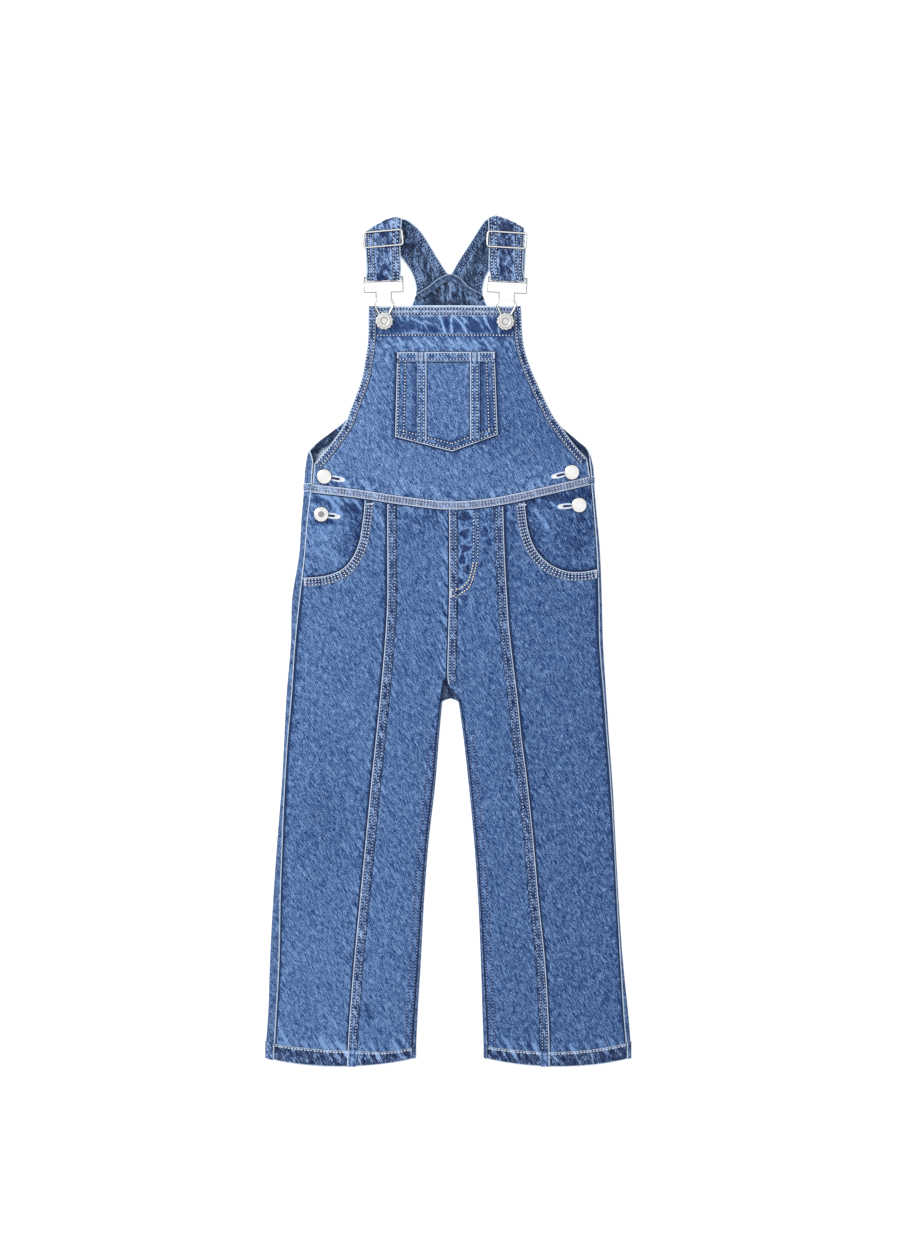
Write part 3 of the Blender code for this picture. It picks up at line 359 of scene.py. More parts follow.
def measure(guide, x, y):
    """For plan points: how far to the left of a line they are, how far along it, and its direction there."""
    t = np.linspace(0, 1, MEASURE_POINTS)
    points = guide(t)
    ahead, left = sideways(guide, t)
    flat = np.stack([np.ravel(x), np.ravel(y)], axis=1)
    away = ((flat[:, None, :] - points[None]) ** 2).sum(axis=2)
    near = away.argmin(axis=1)
    step = flat - points[near]
    forward = (step * ahead[near]).sum(axis=1)
    sign = np.where((step * left[near]).sum(axis=1) < 0, -1, 1)
    off = sign * np.sqrt(np.maximum(away.min(axis=1) - forward**2, 0))
    along = t[near] * guide.length + forward
    return off.reshape(x.shape), along.reshape(x.shape), ahead[near].reshape(*x.shape, 2)


# %% [markdown]
# ## Creases
# Washed denim is never flat. Each seam has shrunk more than the cloth beside it, so short ridges run away from
# it, all leaning the same way because the cloth's own twist pulls them over. Between the seams the cloth swells
# and dips gently. The height of all this is one function of the place on the plan, so the cloth, the strips on it
# and the stitches in them all rise and fall together.

# %% Where the cloth puckers
TWIST = np.array([0.5, -0.87])  # the way all the ridges lean
STRIP_STEP = GAP + TAPE  # a strip's face above its panel's
SEAM_HEIGHTS = (-360, -303, -246, -189, -132, -94, -55, 2, 40, 87, 120)


def front_side(side, y):
    """The front's outer edge, a needle's width from the rolled back."""
    return SIDE_EDGE[side](y) - OUTWARD[side] * ROLL_SEAM


def seam_line(side, seam, top_y, shift, foot_gap=GAP):
    """A line up a leg from just above the hem."""
    foot_x = seam(HEM_SIDE_Y + HEM_DEPTH) + shift
    run = [(foot_x, hem_top(side, foot_x) + foot_gap)]
    run += [(seam(y) + shift, y) for y in SEAM_HEIGHTS if y < top_y - 10]
    return line(run + [(seam(top_y) + shift, top_y)])


def waist_line(x_from, x_to, shift):
    return line([(x, WAIST_Y(x) + shift) for x in np.linspace(x_from, x_to, 7)])


def hem_line(side, x_from, x_to, shift=GAP):
    return line([(x, hem_top(side, x) + shift) for x in np.linspace(x_from, x_to, 9)])


def below_waist(x):
    return WAIST_Y(x) - WAIST_WIDTH / 2 - 2 * GAP


def armhole(side):
    return [(edge, y) for y, edge, _ in BIB[side][1:]]


def inner_edge(side):
    """The front's inner edge: up the inseam, round the crotch and up the centre front."""
    foot_x = INSEAM[side](HEM_SIDE_Y + HEM_DEPTH)
    run = [(foot_x, hem_top(side, foot_x) + GAP)]
    run += [(INSEAM[side](y), y) for y in (*SEAM_HEIGHTS[:6], -76, -62)]  # closer together near the crotch
    run += CENTRE_FRONT[side][::-1]
    run[-1] = (run[-1][0], WAIST_Y(run[-1][0]) - SEAM)
    return line([(x + OUTWARD[side] * (ROLL_SEAM if y < CROTCH_Y else SEAM), y) for x, y in run])


LEG_SEAM, MOUTH, LEG_INNER, ARMHOLE, OUTSEAM, HEM_ENDS = {}, {}, {}, {}, {}, {}
HEM_ENDS_Y = -390  # where the ends of a hem's line are read
for side, out in OUTWARD.items():
    top = below_waist(PANEL_SEAM[side](SIDE_TOP_Y) - out * FELL_WIDTH)
    LEG_SEAM[side] = seam_line(side, PANEL_SEAM[side], top, 0, foot_gap=4 * GAP)
    mouth = POCKET_MOUTH[side]
    start = (mouth[0][0], below_waist(mouth[0][0] - out * POCKET_EDGE_WIDTH))
    MOUTH[side] = line([start] + mouth[1:-1] + [(front_side(side, mouth[-1][1]), mouth[-1][1])])
    LEG_INNER[side] = inner_edge(side)
    ARMHOLE[side] = line(armhole(side))
    OUTSEAM[side] = seam_line(side, SIDE_EDGE[side], SIDE_TOP_Y, 0)
    HEM_ENDS[side] = (side, SIDE_EDGE[side](HEM_ENDS_Y), INSEAM[side](HEM_ENDS_Y))
top_x = CENTRE_FRONT["right"][0][0]
FLY = line([(top_x, below_waist(top_x))] + CENTRE_FRONT["right"][1:4] + [CENTRE_SEAM_END])
WAIST_SEAM = waist_line(*(SIDE_EDGE[side](SIDE_TOP_Y) - out * SEAM for side, out in OUTWARD.items()), -WAIST_WIDTH / 2)
POCKET_LEFT, POCKET_RIGHT = (line([POCKET_SIDES[k], POCKET_TOP[k]]) for k in (0, 1))
POCKET_LOW_LEFT, POCKET_LOW_RIGHT = line([POCKET_SIDES[0], POCKET_TIP]), line([POCKET_TIP, POCKET_SIDES[1]])
POCKET_FOOT = line([POCKET_SIDES[0], POCKET_TIP], [POCKET_TIP, POCKET_SIDES[1]])
POCKET_HEAD = line(POCKET_TOP)


def ridges(guide, half, reach, period, depth, seed):
    """Ridges across a seam, unevenly spaced: where each lies, and how far it reaches, how wide and how high it is."""
    rng = np.random.default_rng(seed)
    count = max(3, round(guide.length / period))
    at = (np.arange(count) + 0.5 + rng.uniform(-0.38, 0.38, count)) * guide.length / count
    reach, wide = reach * rng.uniform(0.5, 1.5, count), period * rng.uniform(0.17, 0.36, count)
    return guide, half, at, reach, wide, depth * rng.uniform(0.35, 1.35, count)


def strip_ridges(guide, width, *shape):
    """Ridges across a strip that lies to the left of a line, or to its right where the width is negative."""
    return ridges(line(beside(guide, np.linspace(0, 1, 40), width / 2)), abs(width) / 2, *shape)


PUCKERS = []
for number, (side, out) in enumerate(OUTWARD.items()):
    strip_x = POCKET_SEAM_X[side] + POCKET_STRIP / 2
    PUCKERS += [
        strip_ridges(LEG_SEAM[side], FELL_WIDTH * out, 8, 8.5, 0.55, 11 + number),
        strip_ridges(MOUTH[side], -POCKET_EDGE_WIDTH * out, 7, 8.0, 0.5, 21 + number),
        ridges(LEG_INNER[side], 5, 7, 9.0, 0.4, 31 + number),
        ridges(OUTSEAM[side], 1, 8, 11.0, 0.35, 41 + number),
        strip_ridges(ARMHOLE[side], BINDING_WIDTH * out, 7, 8.5, 0.45, 51 + number),
        ridges(hem_line(*HEM_ENDS[side], 1.0), 3, 9, 8.0, 0.6, 61 + number),
        ridges(line([(strip_x, 192), (strip_x, 266)]), POCKET_STRIP / 2, 4, 8.5, 0.35, 71 + number),
    ]
fly_middle = line(beside(FLY, np.linspace(0, 1, 40), FLY_WIDTH / 2))
PUCKERS += [
    ridges(fly_middle, FLY_WIDTH / 2 + 1, 7, 9.0, 0.55, 81),
    strip_ridges(WAIST_SEAM, WAIST_WIDTH, 7, 9.5, 0.55, 82),
    ridges(POCKET_HEAD, 8, 5, 9.0, 0.35, 84),
    ridges(POCKET_FOOT, 2, 7, 9.0, 0.35, 85),
]

# %% Creases, listed: both ends on the plan, then width and height
CREASES = [
    (-160.7, -369.4, -155, -382.9, 2, 0.5), (-121.5, -377.6, -113.2, -389.1, 2.2, 0.6),
    (-108.1, -382.9, -98.7, -389.1, 2, 0.5), (-112.1, -358.1, -107, -366.2, 1.8, 0.4),
    (-78.3, -346.7, -75, -356.7, 2.4, -0.5), (-114.2, 138.9, -102.1, 120.5, 2.2, 0.6),
    (-98.3, 138.9, -83.1, 126.2, 2, 0.5), (82.6, 125.2, 94.1, 110.9, 2.2, 0.5),
]
FINE = {  # thin pale lines where the cloth was creased in the wash: by strength, both ends and the width
    0.4: [(-49.8, 293.8, 41.7, 293.4, 1), (-128.8, 131, -124.1, 125.2, 1.5), (-112.6, 108.1, -101.2, 92.9, 0.9),
          (-129.8, 75.7, -118.3, 64.3, 1), (-112.6, 81.4, -103.1, 70, 0.9), (102.6, 120.5, 107.4, 113.8, 0.8),
          (92.1, 111, 98.8, 102.4, 0.8), (87.4, 77.6, 96.9, 66.2, 0.9)],
    0.5: [(-26.9, 310, -14.5, 310, 1.2), (-34.5, 295.7, -26.9, 293.8, 1.2), (-124.1, 109, -116.4, 96.7, 0.9),
          (-98.3, 112.9, -93.6, 102.4, 0.8), (-129.8, 89, -120.2, 81.4, 1.4), (-120.2, 91.9, -110.7, 81.4, 0.9),
          (89.3, 125.2, 95, 119.5, 0.8), (80.7, 130, 85.5, 124.3, 0.8), (131.2, 119.5, 135, 111.9, 1.3),
          (130.2, 132.9, 136, 128.1, 1.4), (130.2, 98.6, 136.9, 93.8, 1.4), (-31.7, 151.9, -26.9, 142.4, 0.9),
          (36, 151.9, 40.7, 141.4, 0.9), (104.5, 161.4, 109.3, 153.8, 0.9), (-110.7, 163.3, -105, 154.8, 0.9),
          (4.5, 340.5, 5.5, 334.8, 1.2), (-1.2, 337.6, -0.7, 322.4, 0.9)],
    0.6: [(-23.1, 305.2, -15.5, 302.4, 0.8), (-11.7, 302.4, -6.9, 296.7, 0.8), (123.6, 114.8, 128.3, 111, 0.8),
          (111.2, 98.6, 113.1, 93.8, 0.8), (-101.2, 155.7, -93.6, 147.1, 0.9), (-91.7, 153.8, -86.9, 146.2, 0.8),
          (-72.6, 148.1, -65, 143.3, 0.8), (-17.4, 148.1, -11.7, 139.5, 0.9), (-46, 153.8, -40.2, 143.3, 0.9),
          (-6, 341.4, -5, 325.2, 1.3), (21.7, 329.1, 29.3, 322.4, 2.6)],
    0.7: [(-39.3, 311.9, -38.3, 306.2, 0.8), (12.1, 309.1, 18.8, 303.3, 1.1), (38.8, 312.9, 42.6, 308.1, 0.9),
          (47.4, 308.1, 48.3, 292.9, 1), (-42.1, 296.7, -40.2, 291.9, 0.8), (-87.9, 134.8, -82.1, 126.2, 0.7),
          (-61.2, 111, -58.3, 91.9, 0.7), (108.3, 91, 112.1, 85.2, 0.8), (62.6, 115.7, 66.4, 107.1, 0.9),
          (77.9, 151.9, 81.7, 146.2, 0.9), (54, 150, 57.9, 143.3, 0.9), (20.7, 146.2, 24.5, 139.5, 0.8),
          (14, 337.6, 18.8, 324.3, 1), (-26, 331, -25.5, 322.4, 1.4)],
    0.8: [(-46.9, 311.9, -44, 305.2, 0.8), (30.2, 304.3, 33.1, 299.5, 0.8), (-105, 127.1, -101.2, 115.7, 0.8),
          (-100.2, 137.6, -93.6, 131, 0.9), (118.8, 121.4, 123.6, 114.8, 0.8), (56, 122.4, 62.6, 115.7, 0.9),
          (85.5, 153.8, 88.3, 148.1, 0.9), (11.2, 339.5, 12.1, 324.3, 1.5)],
    0.9: [(23.6, 310, 30.2, 304.3, 0.9), (-47.9, 289.1, -42.1, 282.4, 0.8), (-32.6, 289.1, -25, 281.4, 0.8),
          (-23.1, 289.1, -14.5, 281.4, 0.8), (-12.6, 289.1, -5, 280.5, 0.8), (0.7, 288.1, 6.4, 281.4, 0.8),
          (8.3, 289.1, 13.1, 284.3, 0.8), (17.9, 288.1, 22.6, 280.5, 0.8), (25.5, 286.2, 30.2, 281.4, 0.8),
          (33.1, 288.1, 38.8, 280.5, 0.8), (39.8, 289.1, 49.3, 282.4, 0.8), (51.2, 288.1, 56.9, 281.4, 0.8),
          (-65, 288.1, -59.3, 280.5, 0.8), (-56.4, 289.1, -51.7, 282.4, 0.8), (-108.8, 138.6, -100.2, 130, 0.9),
          (-91.7, 136.7, -84, 128.1, 0.8), (-69.8, 126.2, -61.2, 111, 0.8), (96.9, 132.9, 102.6, 127.1, 0.8),
          (-83.1, 153.8, -77.4, 145.2, 0.9), (92.1, 155.7, 95, 148.1, 0.9), (-13.6, 339.5, -13.1, 331.9, 1.5)],
    1: [(-35.5, 308.1, -23.1, 302.4, 0.7), (-23.1, 302.4, -17.4, 293.8, 0.7), (2.6, 304.3, 3.6, 293.8, 0.8)],
    1.1: [(3.6, 311.9, 2.6, 304.3, 0.9), (-126, 140.5, -113.6, 135.7, 0.9), (-113.6, 135.7, -105, 127.1, 0.9),
          (1.7, 345.2, 2.1, 325.2, 1.3)],
    1.2: [(-6, 304.3, -3.1, 294.8, 0.8), (13.1, 302.4, 17.9, 293.8, 0.9), (36, 305.2, 41.7, 294.8, 0.9)],
    1.3: [(-8.8, 311.9, -6, 304.3, 0.8), (4.5, 311, 13.1, 302.4, 0.8), (33.1, 312.9, 36, 305.2, 1)],
}
PATCHES = [  # places that stayed dark: middle, half sizes, depth
    (-46.9, 299.5, 4.8, 6.7, 0.6), (-17.4, 297.1, 5.7, 3.8, 0.6), (25.5, 299.5, 5.2, 5.2, 0.7),
    (41.7, 300.5, 3.8, 6.7, 0.6), (-34.5, 299.5, 3.8, 4.8, 0.4), (-1.2, 304.3, 2.9, 6.7, 0.4),
    (9.3, 298.6, 2.9, 4.8, 0.4), (-90.7, 128.1, 8.6, 6.7, 0.8), (-125, 134.3, 7.6, 2.4, 0.6),
    (-120.2, 113.8, 13.3, 2.4, 0.6), (-86.9, 106.2, 3.8, 19, 0.5), (-112.6, 130, 5.7, 3.8, 0.4),
    (-96.4, 96.7, 5.7, 7.6, 0.3), (80.7, 132.9, 4.8, 2.4, 0.7), (107.4, 136.7, 16.2, 3.8, 0.7),
    (135, 138.6, 3.8, 5.7, 0.7), (127.4, 142.4, 7.6, 2.9, 0.6), (127.4, 116.7, 6.7, 3.8, 0.7),
    (135, 105.2, 3.8, 4.8, 0.4), (123.6, 91.9, 9.5, 4.8, 0.4), (78.8, 96.7, 3.8, 14.3, 0.4),
    (61.7, 110, 2.9, 7.6, 0.5), (-13.6, 328.1, 3.8, 5.7, 0.5), (7.4, 331, 1.9, 7.6, 0.5), (-3.1, 329.1, 1.4, 5.7, 0.3),
    (57.9, 299.5, 3.8, 4.8, 0.5), (51.2, 286.2, 4.8, 3.8, 0.5), (-60.2, 286.2, 6.7, 3.8, 0.4),
    (-68.8, 300.5, 2.9, 4.8, 0.4), (-117, -175, 28, 75, 0.1), (-3, 281, 62, 9, -0.12),
]
SWELLS = [  # wave length, direction in degrees, height, phase
    (118, 12, 0.30, 0.4), (83, 74, 0.26, 2.1), (61, -38, 0.22, 4.0), (47, 31, 0.16, 1.3), (36, 103, 0.12, 5.2),
    (27, -61, 0.09, 3.3), (19, -30, 0.06, 0.9),
]
HOLLOWS = [  # beside the fly, where its two thick seams pull the cloth into a row of hollows: middle, half size, depth
    (16.2, 118.7, 6.4, 4.4, 1), (15.8, 102.3, 4.6, 5, 1), (16.4, 88.7, 5.4, 3.8, 1), (13.6, 78.6, 3.2, 6, 0.9),
    (17.6, 68.7, 4, 4.8, 0.9), (11.8, 57, 3, 3.8, 0.8), (35, 104, 4, 5.5, 0.5), (38.6, 95, 3.6, 4.5, 0.5),
    (36.4, 86.5, 4, 4, 0.45), (33.5, 74, 3.5, 5, 0.4), (16.2, 41.9, 4.6, 3, 0.5), (15, 34.5, 3.4, 3.2, 0.4),
]


def hollows(x, y):
    """Dark hollows with a pale rim, uneven in outline, on the pale ground between the fly's rows."""
    total = 0.05 * turn_in((7.8 - np.abs(x - 15.6)) / 2) * turn_in((y - 52) / 5) * turn_in((124 - y) / 3)
    for k, (cx, cy, wide, high, depth) in enumerate(HOLLOWS):
        u, v = (x - cx) / wide, (y - cy) / high
        turn = np.arctan2(v, u)
        far = np.hypot(u, v) * (1 + 0.16 * np.sin(3 * turn + 2.1 * k) + 0.12 * np.sin(5 * turn + 1.3 * k))
        total += depth * (0.42 * bell((far - 1.2) / 0.22) - 0.85 * turn_in((1.15 - far) / 0.6))
    return total


def near_segment(x, y, x1, y1, x2, y2, width):
    """1 on a straight piece of line, and less with the distance from it."""
    length = math.hypot(x2 - x1, y2 - y1)
    a = ((x - x1) * (x2 - x1) + (y - y1) * (y2 - y1)) / length
    b = ((y - y1) * (x2 - x1) - (x - x1) * (y2 - y1)) / length
    past = np.maximum(0, np.maximum(-a, a - length))
    return np.exp(-(b**2 + past**2) / width**2)


def near_spot(x, y, cx, cy, wide, high):
    """1 in the middle of an oval spot, and less with the distance from there."""
    return np.exp(-(((x - cx) / wide) ** 2) - ((y - cy) / high) ** 2)


def boxed(x, y, guide, reach):
    """Which plan points are in the box round a line, so that only they need measuring."""
    points = guide(np.linspace(0, 1, 40))
    low, high = points.min(axis=0) - reach, points.max(axis=0) + reach
    return (x > low[0]) & (x < high[0]) & (y > low[1]) & (y < high[1])


def relief(x, y):
    """Height of the creases at plan points, and how far each point is up a ridge or down beside one."""
    x, y = np.asarray(x, float), np.asarray(y, float)
    swell, pucker = np.zeros(x.shape), np.zeros(x.shape)
    for length, degrees, height, phase in SWELLS:
        angle = math.radians(degrees)
        swell += height * np.sin(2 * math.pi * (x * math.cos(angle) + y * math.sin(angle)) / length + phase)
    for guide, half, at, reach, wide, high in PUCKERS:
        here = boxed(x, y, guide, half + reach.max())
        if not here.any():
            continue
        off, along, ahead = measure(guide, x[here], y[here])
        across = np.stack([-ahead[..., 1], ahead[..., 0]], axis=-1) @ TWIST
        across = np.where(np.abs(across) < 0.2, 0.2, across)
        lean = np.clip((ahead @ TWIST) / across, -2, 2)
        beyond = np.maximum(0, np.abs(off) - half)
        u = (along[..., None] - (lean * off)[..., None] - at) / wide
        fade = turn_in(1 - beyond[..., None] / reach)
        hill = bell(u) - 0.35 * bell(np.abs(u) - 1.9)
        pucker[here] += (high * hill * fade).sum(axis=-1)
    for *ends, width, height in CREASES:
        pucker += height * near_segment(x, y, *ends, width)
    pucker += hollows(x, y)
    fine = np.zeros(x.shape)
    for strength, runs in FINE.items():
        for x1, y1, x2, y2, width in runs:
            here = np.abs(x - (x1 + x2) / 2) < abs(x2 - x1) / 2 + 4
            here &= np.abs(y - (y1 + y2) / 2) < abs(y2 - y1) / 2 + 4
            fine[here] = np.maximum(fine[here], strength * near_segment(x[here], y[here], x1, y1, x2, y2, width))
    for *spot, depth in PATCHES:
        fine -= depth * near_spot(x, y, *spot)
    soft = 0.25 + 0.75 * turn_in(inset(x, y) / 9)
    return (swell + pucker + 0.2 * fine) * soft, pucker + fine


def broad_shading(x, y):
    """Painted broad light and shade: the cloth is palest on the left side, towards the key light, lighter in some wide
    places and darker in others.
    """
    across = -0.10 * np.clip(x / 80, -1.4, 1.4)
    low = 0.06 * near_spot(x, y, -100, -300, 60, 80)
    low = low - turn_in((y - 165) / 20) * (0.05 + 0.16 * turn_in((x - 15) / 40))
    hip = 0.16 * near_spot(x, y, -118, 96, 22, 26) - 0.14 * near_spot(x, y, 118, 96, 26, 26)
    return across + low + hip


CREASED = [  # where washing leaves fine pale lines: the line, its half width, how far they reach, how strong they are
    (WAIST_SEAM, 6.0, 22.0, 0.8), (FLY, 4.0, 9.0, 0.4), (line([(-70, 294), (64, 294)]), 9.0, 6.0, 0.5),
    (POCKET_HEAD, 9.0, 5.0, 0.6), (POCKET_FOOT, 3.0, 10.0, 0.6),
]
for side in SIDES:
    CREASED += [(LEG_SEAM[side], 3.0, 9.0, 0.4), (MOUTH[side], 2.0, 14.0, 0.6), (ARMHOLE[side], 2.0, 12.0, 0.6),
                (OUTSEAM[side], 1.0, 9.0, 0.4), (LEG_INNER[side], 2.0, 8.0, 0.35)]


def creased(x, y):
    """How strongly the cloth is creased at plan points, from 0 to 1."""
    most = np.zeros(np.shape(x))
    for guide, half, reach, strength in CREASED:
        here = boxed(x, y, guide, half + reach)
        if here.any():
            off = np.abs(measure(guide, x[here], y[here])[0])
            most[here] = np.maximum(most[here], strength * turn_in(1 - (off - half) / reach))
    return most


def lie(plan, above=0.0):
    """Plan points set on the creased front, with what lies `above` its face, and their place on the ridges."""
    x, y = plan[..., 0], plan[..., 1]
    height, pucker = relief(x, y)
    return np.stack([x, y, front(x, y) + height + above], axis=-1), pucker


sample = np.stack(np.meshgrid(np.linspace(-140, 140, 60), np.linspace(-380, 300, 120)), axis=-1)
height, pucker = relief(sample[..., 0], sample[..., 1])
print("creases from", round(float(height.min()), 2), "to", round(float(height.max()), 2), "mm high")

# %% [markdown]
# ## Washed denim, thread and metal
# Denim is woven from indigo and white yarns on a slant, and washing takes the blue off wherever the cloth stands
# up. The finish is mixed from noise stretched along the slant, at four sizes, from threads to patches. The pieces
# carry four values of their own: `worn` whitens an edge, `ridge` lightens what stands up and darkens what lies low,
# `shade` is painted light and shade, lightening a place or deepening it to a dark blue, and `crease` brings out
# fine pale lines, which are where one slow noise passes its middle value.

# %% Colours
def linear(*rgb):
    """A colour given as it looks on a screen, from 0 to 255, as the linear values that a shader takes."""
    values = [(v / 255 / 12.92 if v <= 10 else ((v / 255 + 0.055) / 1.055) ** 2.4) for v in rgb]
    return (*values, 1.0)


WORN_WHITE = linear(206, 224, 246)
# the dark blue that the deepest painted shade turns the denim to
DEEP_SHADE = linear(36, 58, 100)
SLANT = 30  # degrees from straight down
FULL = (1, 1, 1, 1)


def shader(name, **settings):
    """A new material, its node tree and its surface, with the surface's own settings."""
    made = bpy.data.materials.new(name)
    made.use_nodes = True
    surface = made.node_tree.nodes["Principled BSDF"]
    feed(made.node_tree, surface, {key.replace("_", " "): value for key, value in settings.items()})
    return made, made.node_tree, surface


def feed(tree, made, values):
    """Sets or links inputs of a node."""
    for key, value in values.items():
        if isinstance(value, bpy.types.NodeSocket):
            tree.links.new(value, made.inputs[key])
        else:
            made.inputs[key].default_value = value


def node(tree, kind, values, output=0, **settings):
    """An output of a new shader node, with its settings, and its inputs set or linked."""
    made = tree.nodes.new("ShaderNode" + kind)
    for key, value in settings.items():
        setattr(made, key, value)
    feed(tree, made, values)
    return made.outputs[output]


def blend(tree, share, a, b):
    """Two colours mixed by a share."""
    return node(tree, "Mix", {0: share, 6: a, 7: b}, 2, data_type="RGBA")


def calculated(tree, operation, *values):
    return node(tree, "Math", dict(enumerate(values)), operation=operation)


def between(tree, value, low, high):
    """0 at the low value, 1 at the high one."""
    return node(tree, "MapRange", {"Value": value, "From Min": low, "From Max": high})


def sums(tree, total, *terms):
    """A number and the (socket, factor) terms added to it."""
    for socket, factor in terms:
        total = calculated(tree, "MULTIPLY_ADD", socket, factor, total)
    return total


def noise(tree, place, scale, detail, roughness=0.5):
    values = {"Vector": place, "Scale": scale, "Detail": detail, "Roughness": roughness}
    return node(tree, "TexNoise", values, "Fac")


def streaks_of(tree, place, width, length, detail, roughness=0.5, slant=SLANT):
    """Noise in streaks of that width and length in millimetres, leaning by the slant in degrees."""
    size = (width * MM, length * MM, width * MM)
    values = {"Vector": place, "Rotation": (0, 0, math.radians(slant)), "Scale": size}
    return noise(tree, node(tree, "Mapping", values, vector_type="TEXTURE"), 1.0, detail, roughness)


def denim(name, colours, streaks, mottle, ridge, slant=SLANT, lines=0.7, blots=0.55):
    """Washed denim between a dark, a middle and a light colour."""
    made, tree, surface = shader(name, Roughness=0.94, Specular_IOR_Level=0.15)
    place = node(tree, "TexCoord", {}, "Object")
    streak = streaks_of(tree, place, 0.9, 5.5, 1.5, 0.6)
    slub = streaks_of(tree, place, 0.9, 8.0, 1.0, 0.5, SLANT * 0.85)
    patchy = streaks_of(tree, place, 4.5, 8.0, 2.0, 0.6)
    grain = streaks_of(tree, place, 0.5, 0.9, 1.0)
    worn, hill, shade, creased = (
        node(tree, "Attribute", {}, "Fac", attribute_name=own) for own in ("worn", "ridge", "shade", "crease")
    )
    slow = streaks_of(tree, place, 3.4, 13.0, 2.0, 0.55, slant)
    aside = calculated(tree, "ABSOLUTE", calculated(tree, "SUBTRACT", slow, 0.5))
    line_here = calculated(tree, "MULTIPLY", between(tree, aside, 0.036, 0.010), creased)
    blot = streaks_of(tree, place, 5.0, 9.0, 1.5, 0.5, slant)
    blot_here = calculated(tree, "MULTIPLY", between(tree, blot, 0.42, 0.62), creased)
    terms = [(streak, 1.45 * streaks), (slub, 0.5 * streaks), (patchy, 1.2 * mottle), (grain, 2.4 * streaks)]
    start = 0.5 - 0.5 * sum(factor for _, factor in terms)
    level = sums(tree, start, *terms, (hill, ridge), (shade, 0.5), (line_here, lines), (blot_here, -blots))
    ramp = node(tree, "ValToRGB", {"Fac": level})
    dark, middle, light = (linear(*colour) for colour in colours)
    stops = ramp.node.color_ramp.elements
    stops[0].color, stops[1].color = dark, light
    stops.new(0.5).color = middle
    rubbed = node(tree, "Clamp", {"Value": sums(tree, -0.3, (worn, 1.2), (streak, 0.45), (grain, 0.2))})
    colour = blend(tree, rubbed, ramp, WORN_WHITE)
    # painted shade: the lowest `shade` values turn the colour to the deep shade blue
    colour = blend(tree, between(tree, shade, -0.4, -1.4), colour, DEEP_SHADE)
    rough = sums(tree, 0.0, (streak, 1.0), (grain, 0.5))
    bump = node(tree, "Bump", {"Height": rough, "Strength": 0.5, "Distance": 0.0005})
    feed(tree, surface, {"Base Color": colour, "Normal": bump})
    return made


def plain(name, colour, roughness, metallic=0.0, **more):
    return shader(name, Base_Color=colour, Roughness=roughness, Metallic=metallic, **more)[0]


def thread(name, pale, tint):
    """Cotton thread, dyed unevenly from a pale colour to a tint."""
    made, tree, surface = shader(name, Roughness=0.8, Metallic=0.0)
    share = between(tree, noise(tree, node(tree, "TexCoord", {}, "Object"), 260.0, 1.0), 0.35, 0.65)
    feed(tree, surface, {"Base Color": blend(tree, share, linear(*pale), linear(*tint))})
    return made


FRONT = denim("denim", ((16, 44, 94), (54, 89, 142), (122, 158, 210)), 1.0, 0.2, 0.8)
FADED = denim("denim faded", ((28, 58, 110), (67, 102, 154), (140, 174, 224)), 1.0, 0.2, 0.8)
STRIP = denim("denim worn", ((18, 36, 80), (63, 90, 138), (152, 182, 228)), 0.9, 0.5, 0.55, 18, 0.7, 0.75)
BACK = denim("denim back", ((22, 48, 92), (56, 86, 134), (116, 148, 196)), 1.0, 0.3, 0.7)
# the cloth's reverse: a duller blue of its own, darkened further with painted shade, since the inside faces that show
# lie in shadow
INSIDE = denim("denim inside", ((22, 38, 68), (54, 76, 112), (116, 144, 184)), 0.9, 0.8, 0.6, 8, 0.9, 0.8)
PALE_THREAD = thread("thread pale", (236, 246, 255), (214, 228, 255))
FAINT_THREAD = thread("thread faded", (168, 190, 236), (140, 164, 214))
BLUE_THREAD = thread("thread washed", (206, 222, 252), (170, 190, 232))
TAN_THREAD = thread("thread tan", (236, 242, 252), (214, 220, 240))
DARK_THREAD = thread("thread mauve", (232, 240, 255), (186, 186, 228))
CREAM_THREAD = thread("thread cream", (250, 248, 232), (226, 224, 206))
# painted shade under the rows of stitches on bare cloth
ROW_SHADE = plain("cloth under a row", linear(28, 46, 90), 0.95)
SHADOW = plain("seam shadow", linear(24, 40, 78), 0.95)
NICKEL = plain("nickel", (0.93, 0.93, 0.93, 1), 0.16, 1.0)
DIM_REFLECTION = plain("dim nickel", (0.30, 0.30, 0.29, 1), 0.3, 1.0)
CAP = plain("nickel cap", (0.84, 0.83, 0.82, 1), 0.24, 1.0)
BRUSHED = plain("brushed nickel", (0.66, 0.66, 0.65, 1), 0.5, 1.0)
# painted dark reflection on metal faces turned away from above
DARK_REFLECTION = plain("nickel rim", (0.17, 0.18, 0.20, 1), 0.35, 1.0)
FLOOR = plain("floor", (0.55, 0.55, 0.55, 1), 0.9, Emission_Color=FULL, Emission_Strength=0.7)
print("materials:", len(bpy.data.materials))

# %% [markdown]
# ## A piece of cloth
# Every sewn piece is made the same way. A grid takes the shape of the cut piece, each of its points goes to its
# height, and the wall is then thickened inwards, so that a cut edge has the real thickness of the cloth. The
# points close to an edge drop a little, because a washed edge is round.

# %% Make a piece from a grid of points
EDGE_STEPS = np.array([0.0, 0.3, 0.8, 1.5])  # columns this close to an edge, in millimetres
EDGE_DROP = 0.4
WORN_WIDTH = 0.75
SMOOTH_ANGLE = math.radians(50)


def in_scene(name, data):
    """A mesh, a light or a camera as an object in the scene."""
    made = bpy.data.objects.new(name, data)
    bpy.context.scene.collection.objects.link(made)
    return made


def keep(name, mesh, finishes, ride=True):
    """Puts a mesh in the scene as a named piece, riding with the garment."""
    for finish in finishes[len(mesh.materials) :]:
        mesh.materials.append(finish)
    made = in_scene(name, mesh)
    if ride:
        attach(made, "root")
    return made


def mesh_of(name, bm):
    """The finished shape as a mesh."""
    mesh = bpy.data.meshes.new(name)
    bm.to_mesh(mesh)
    bm.free()
    return mesh


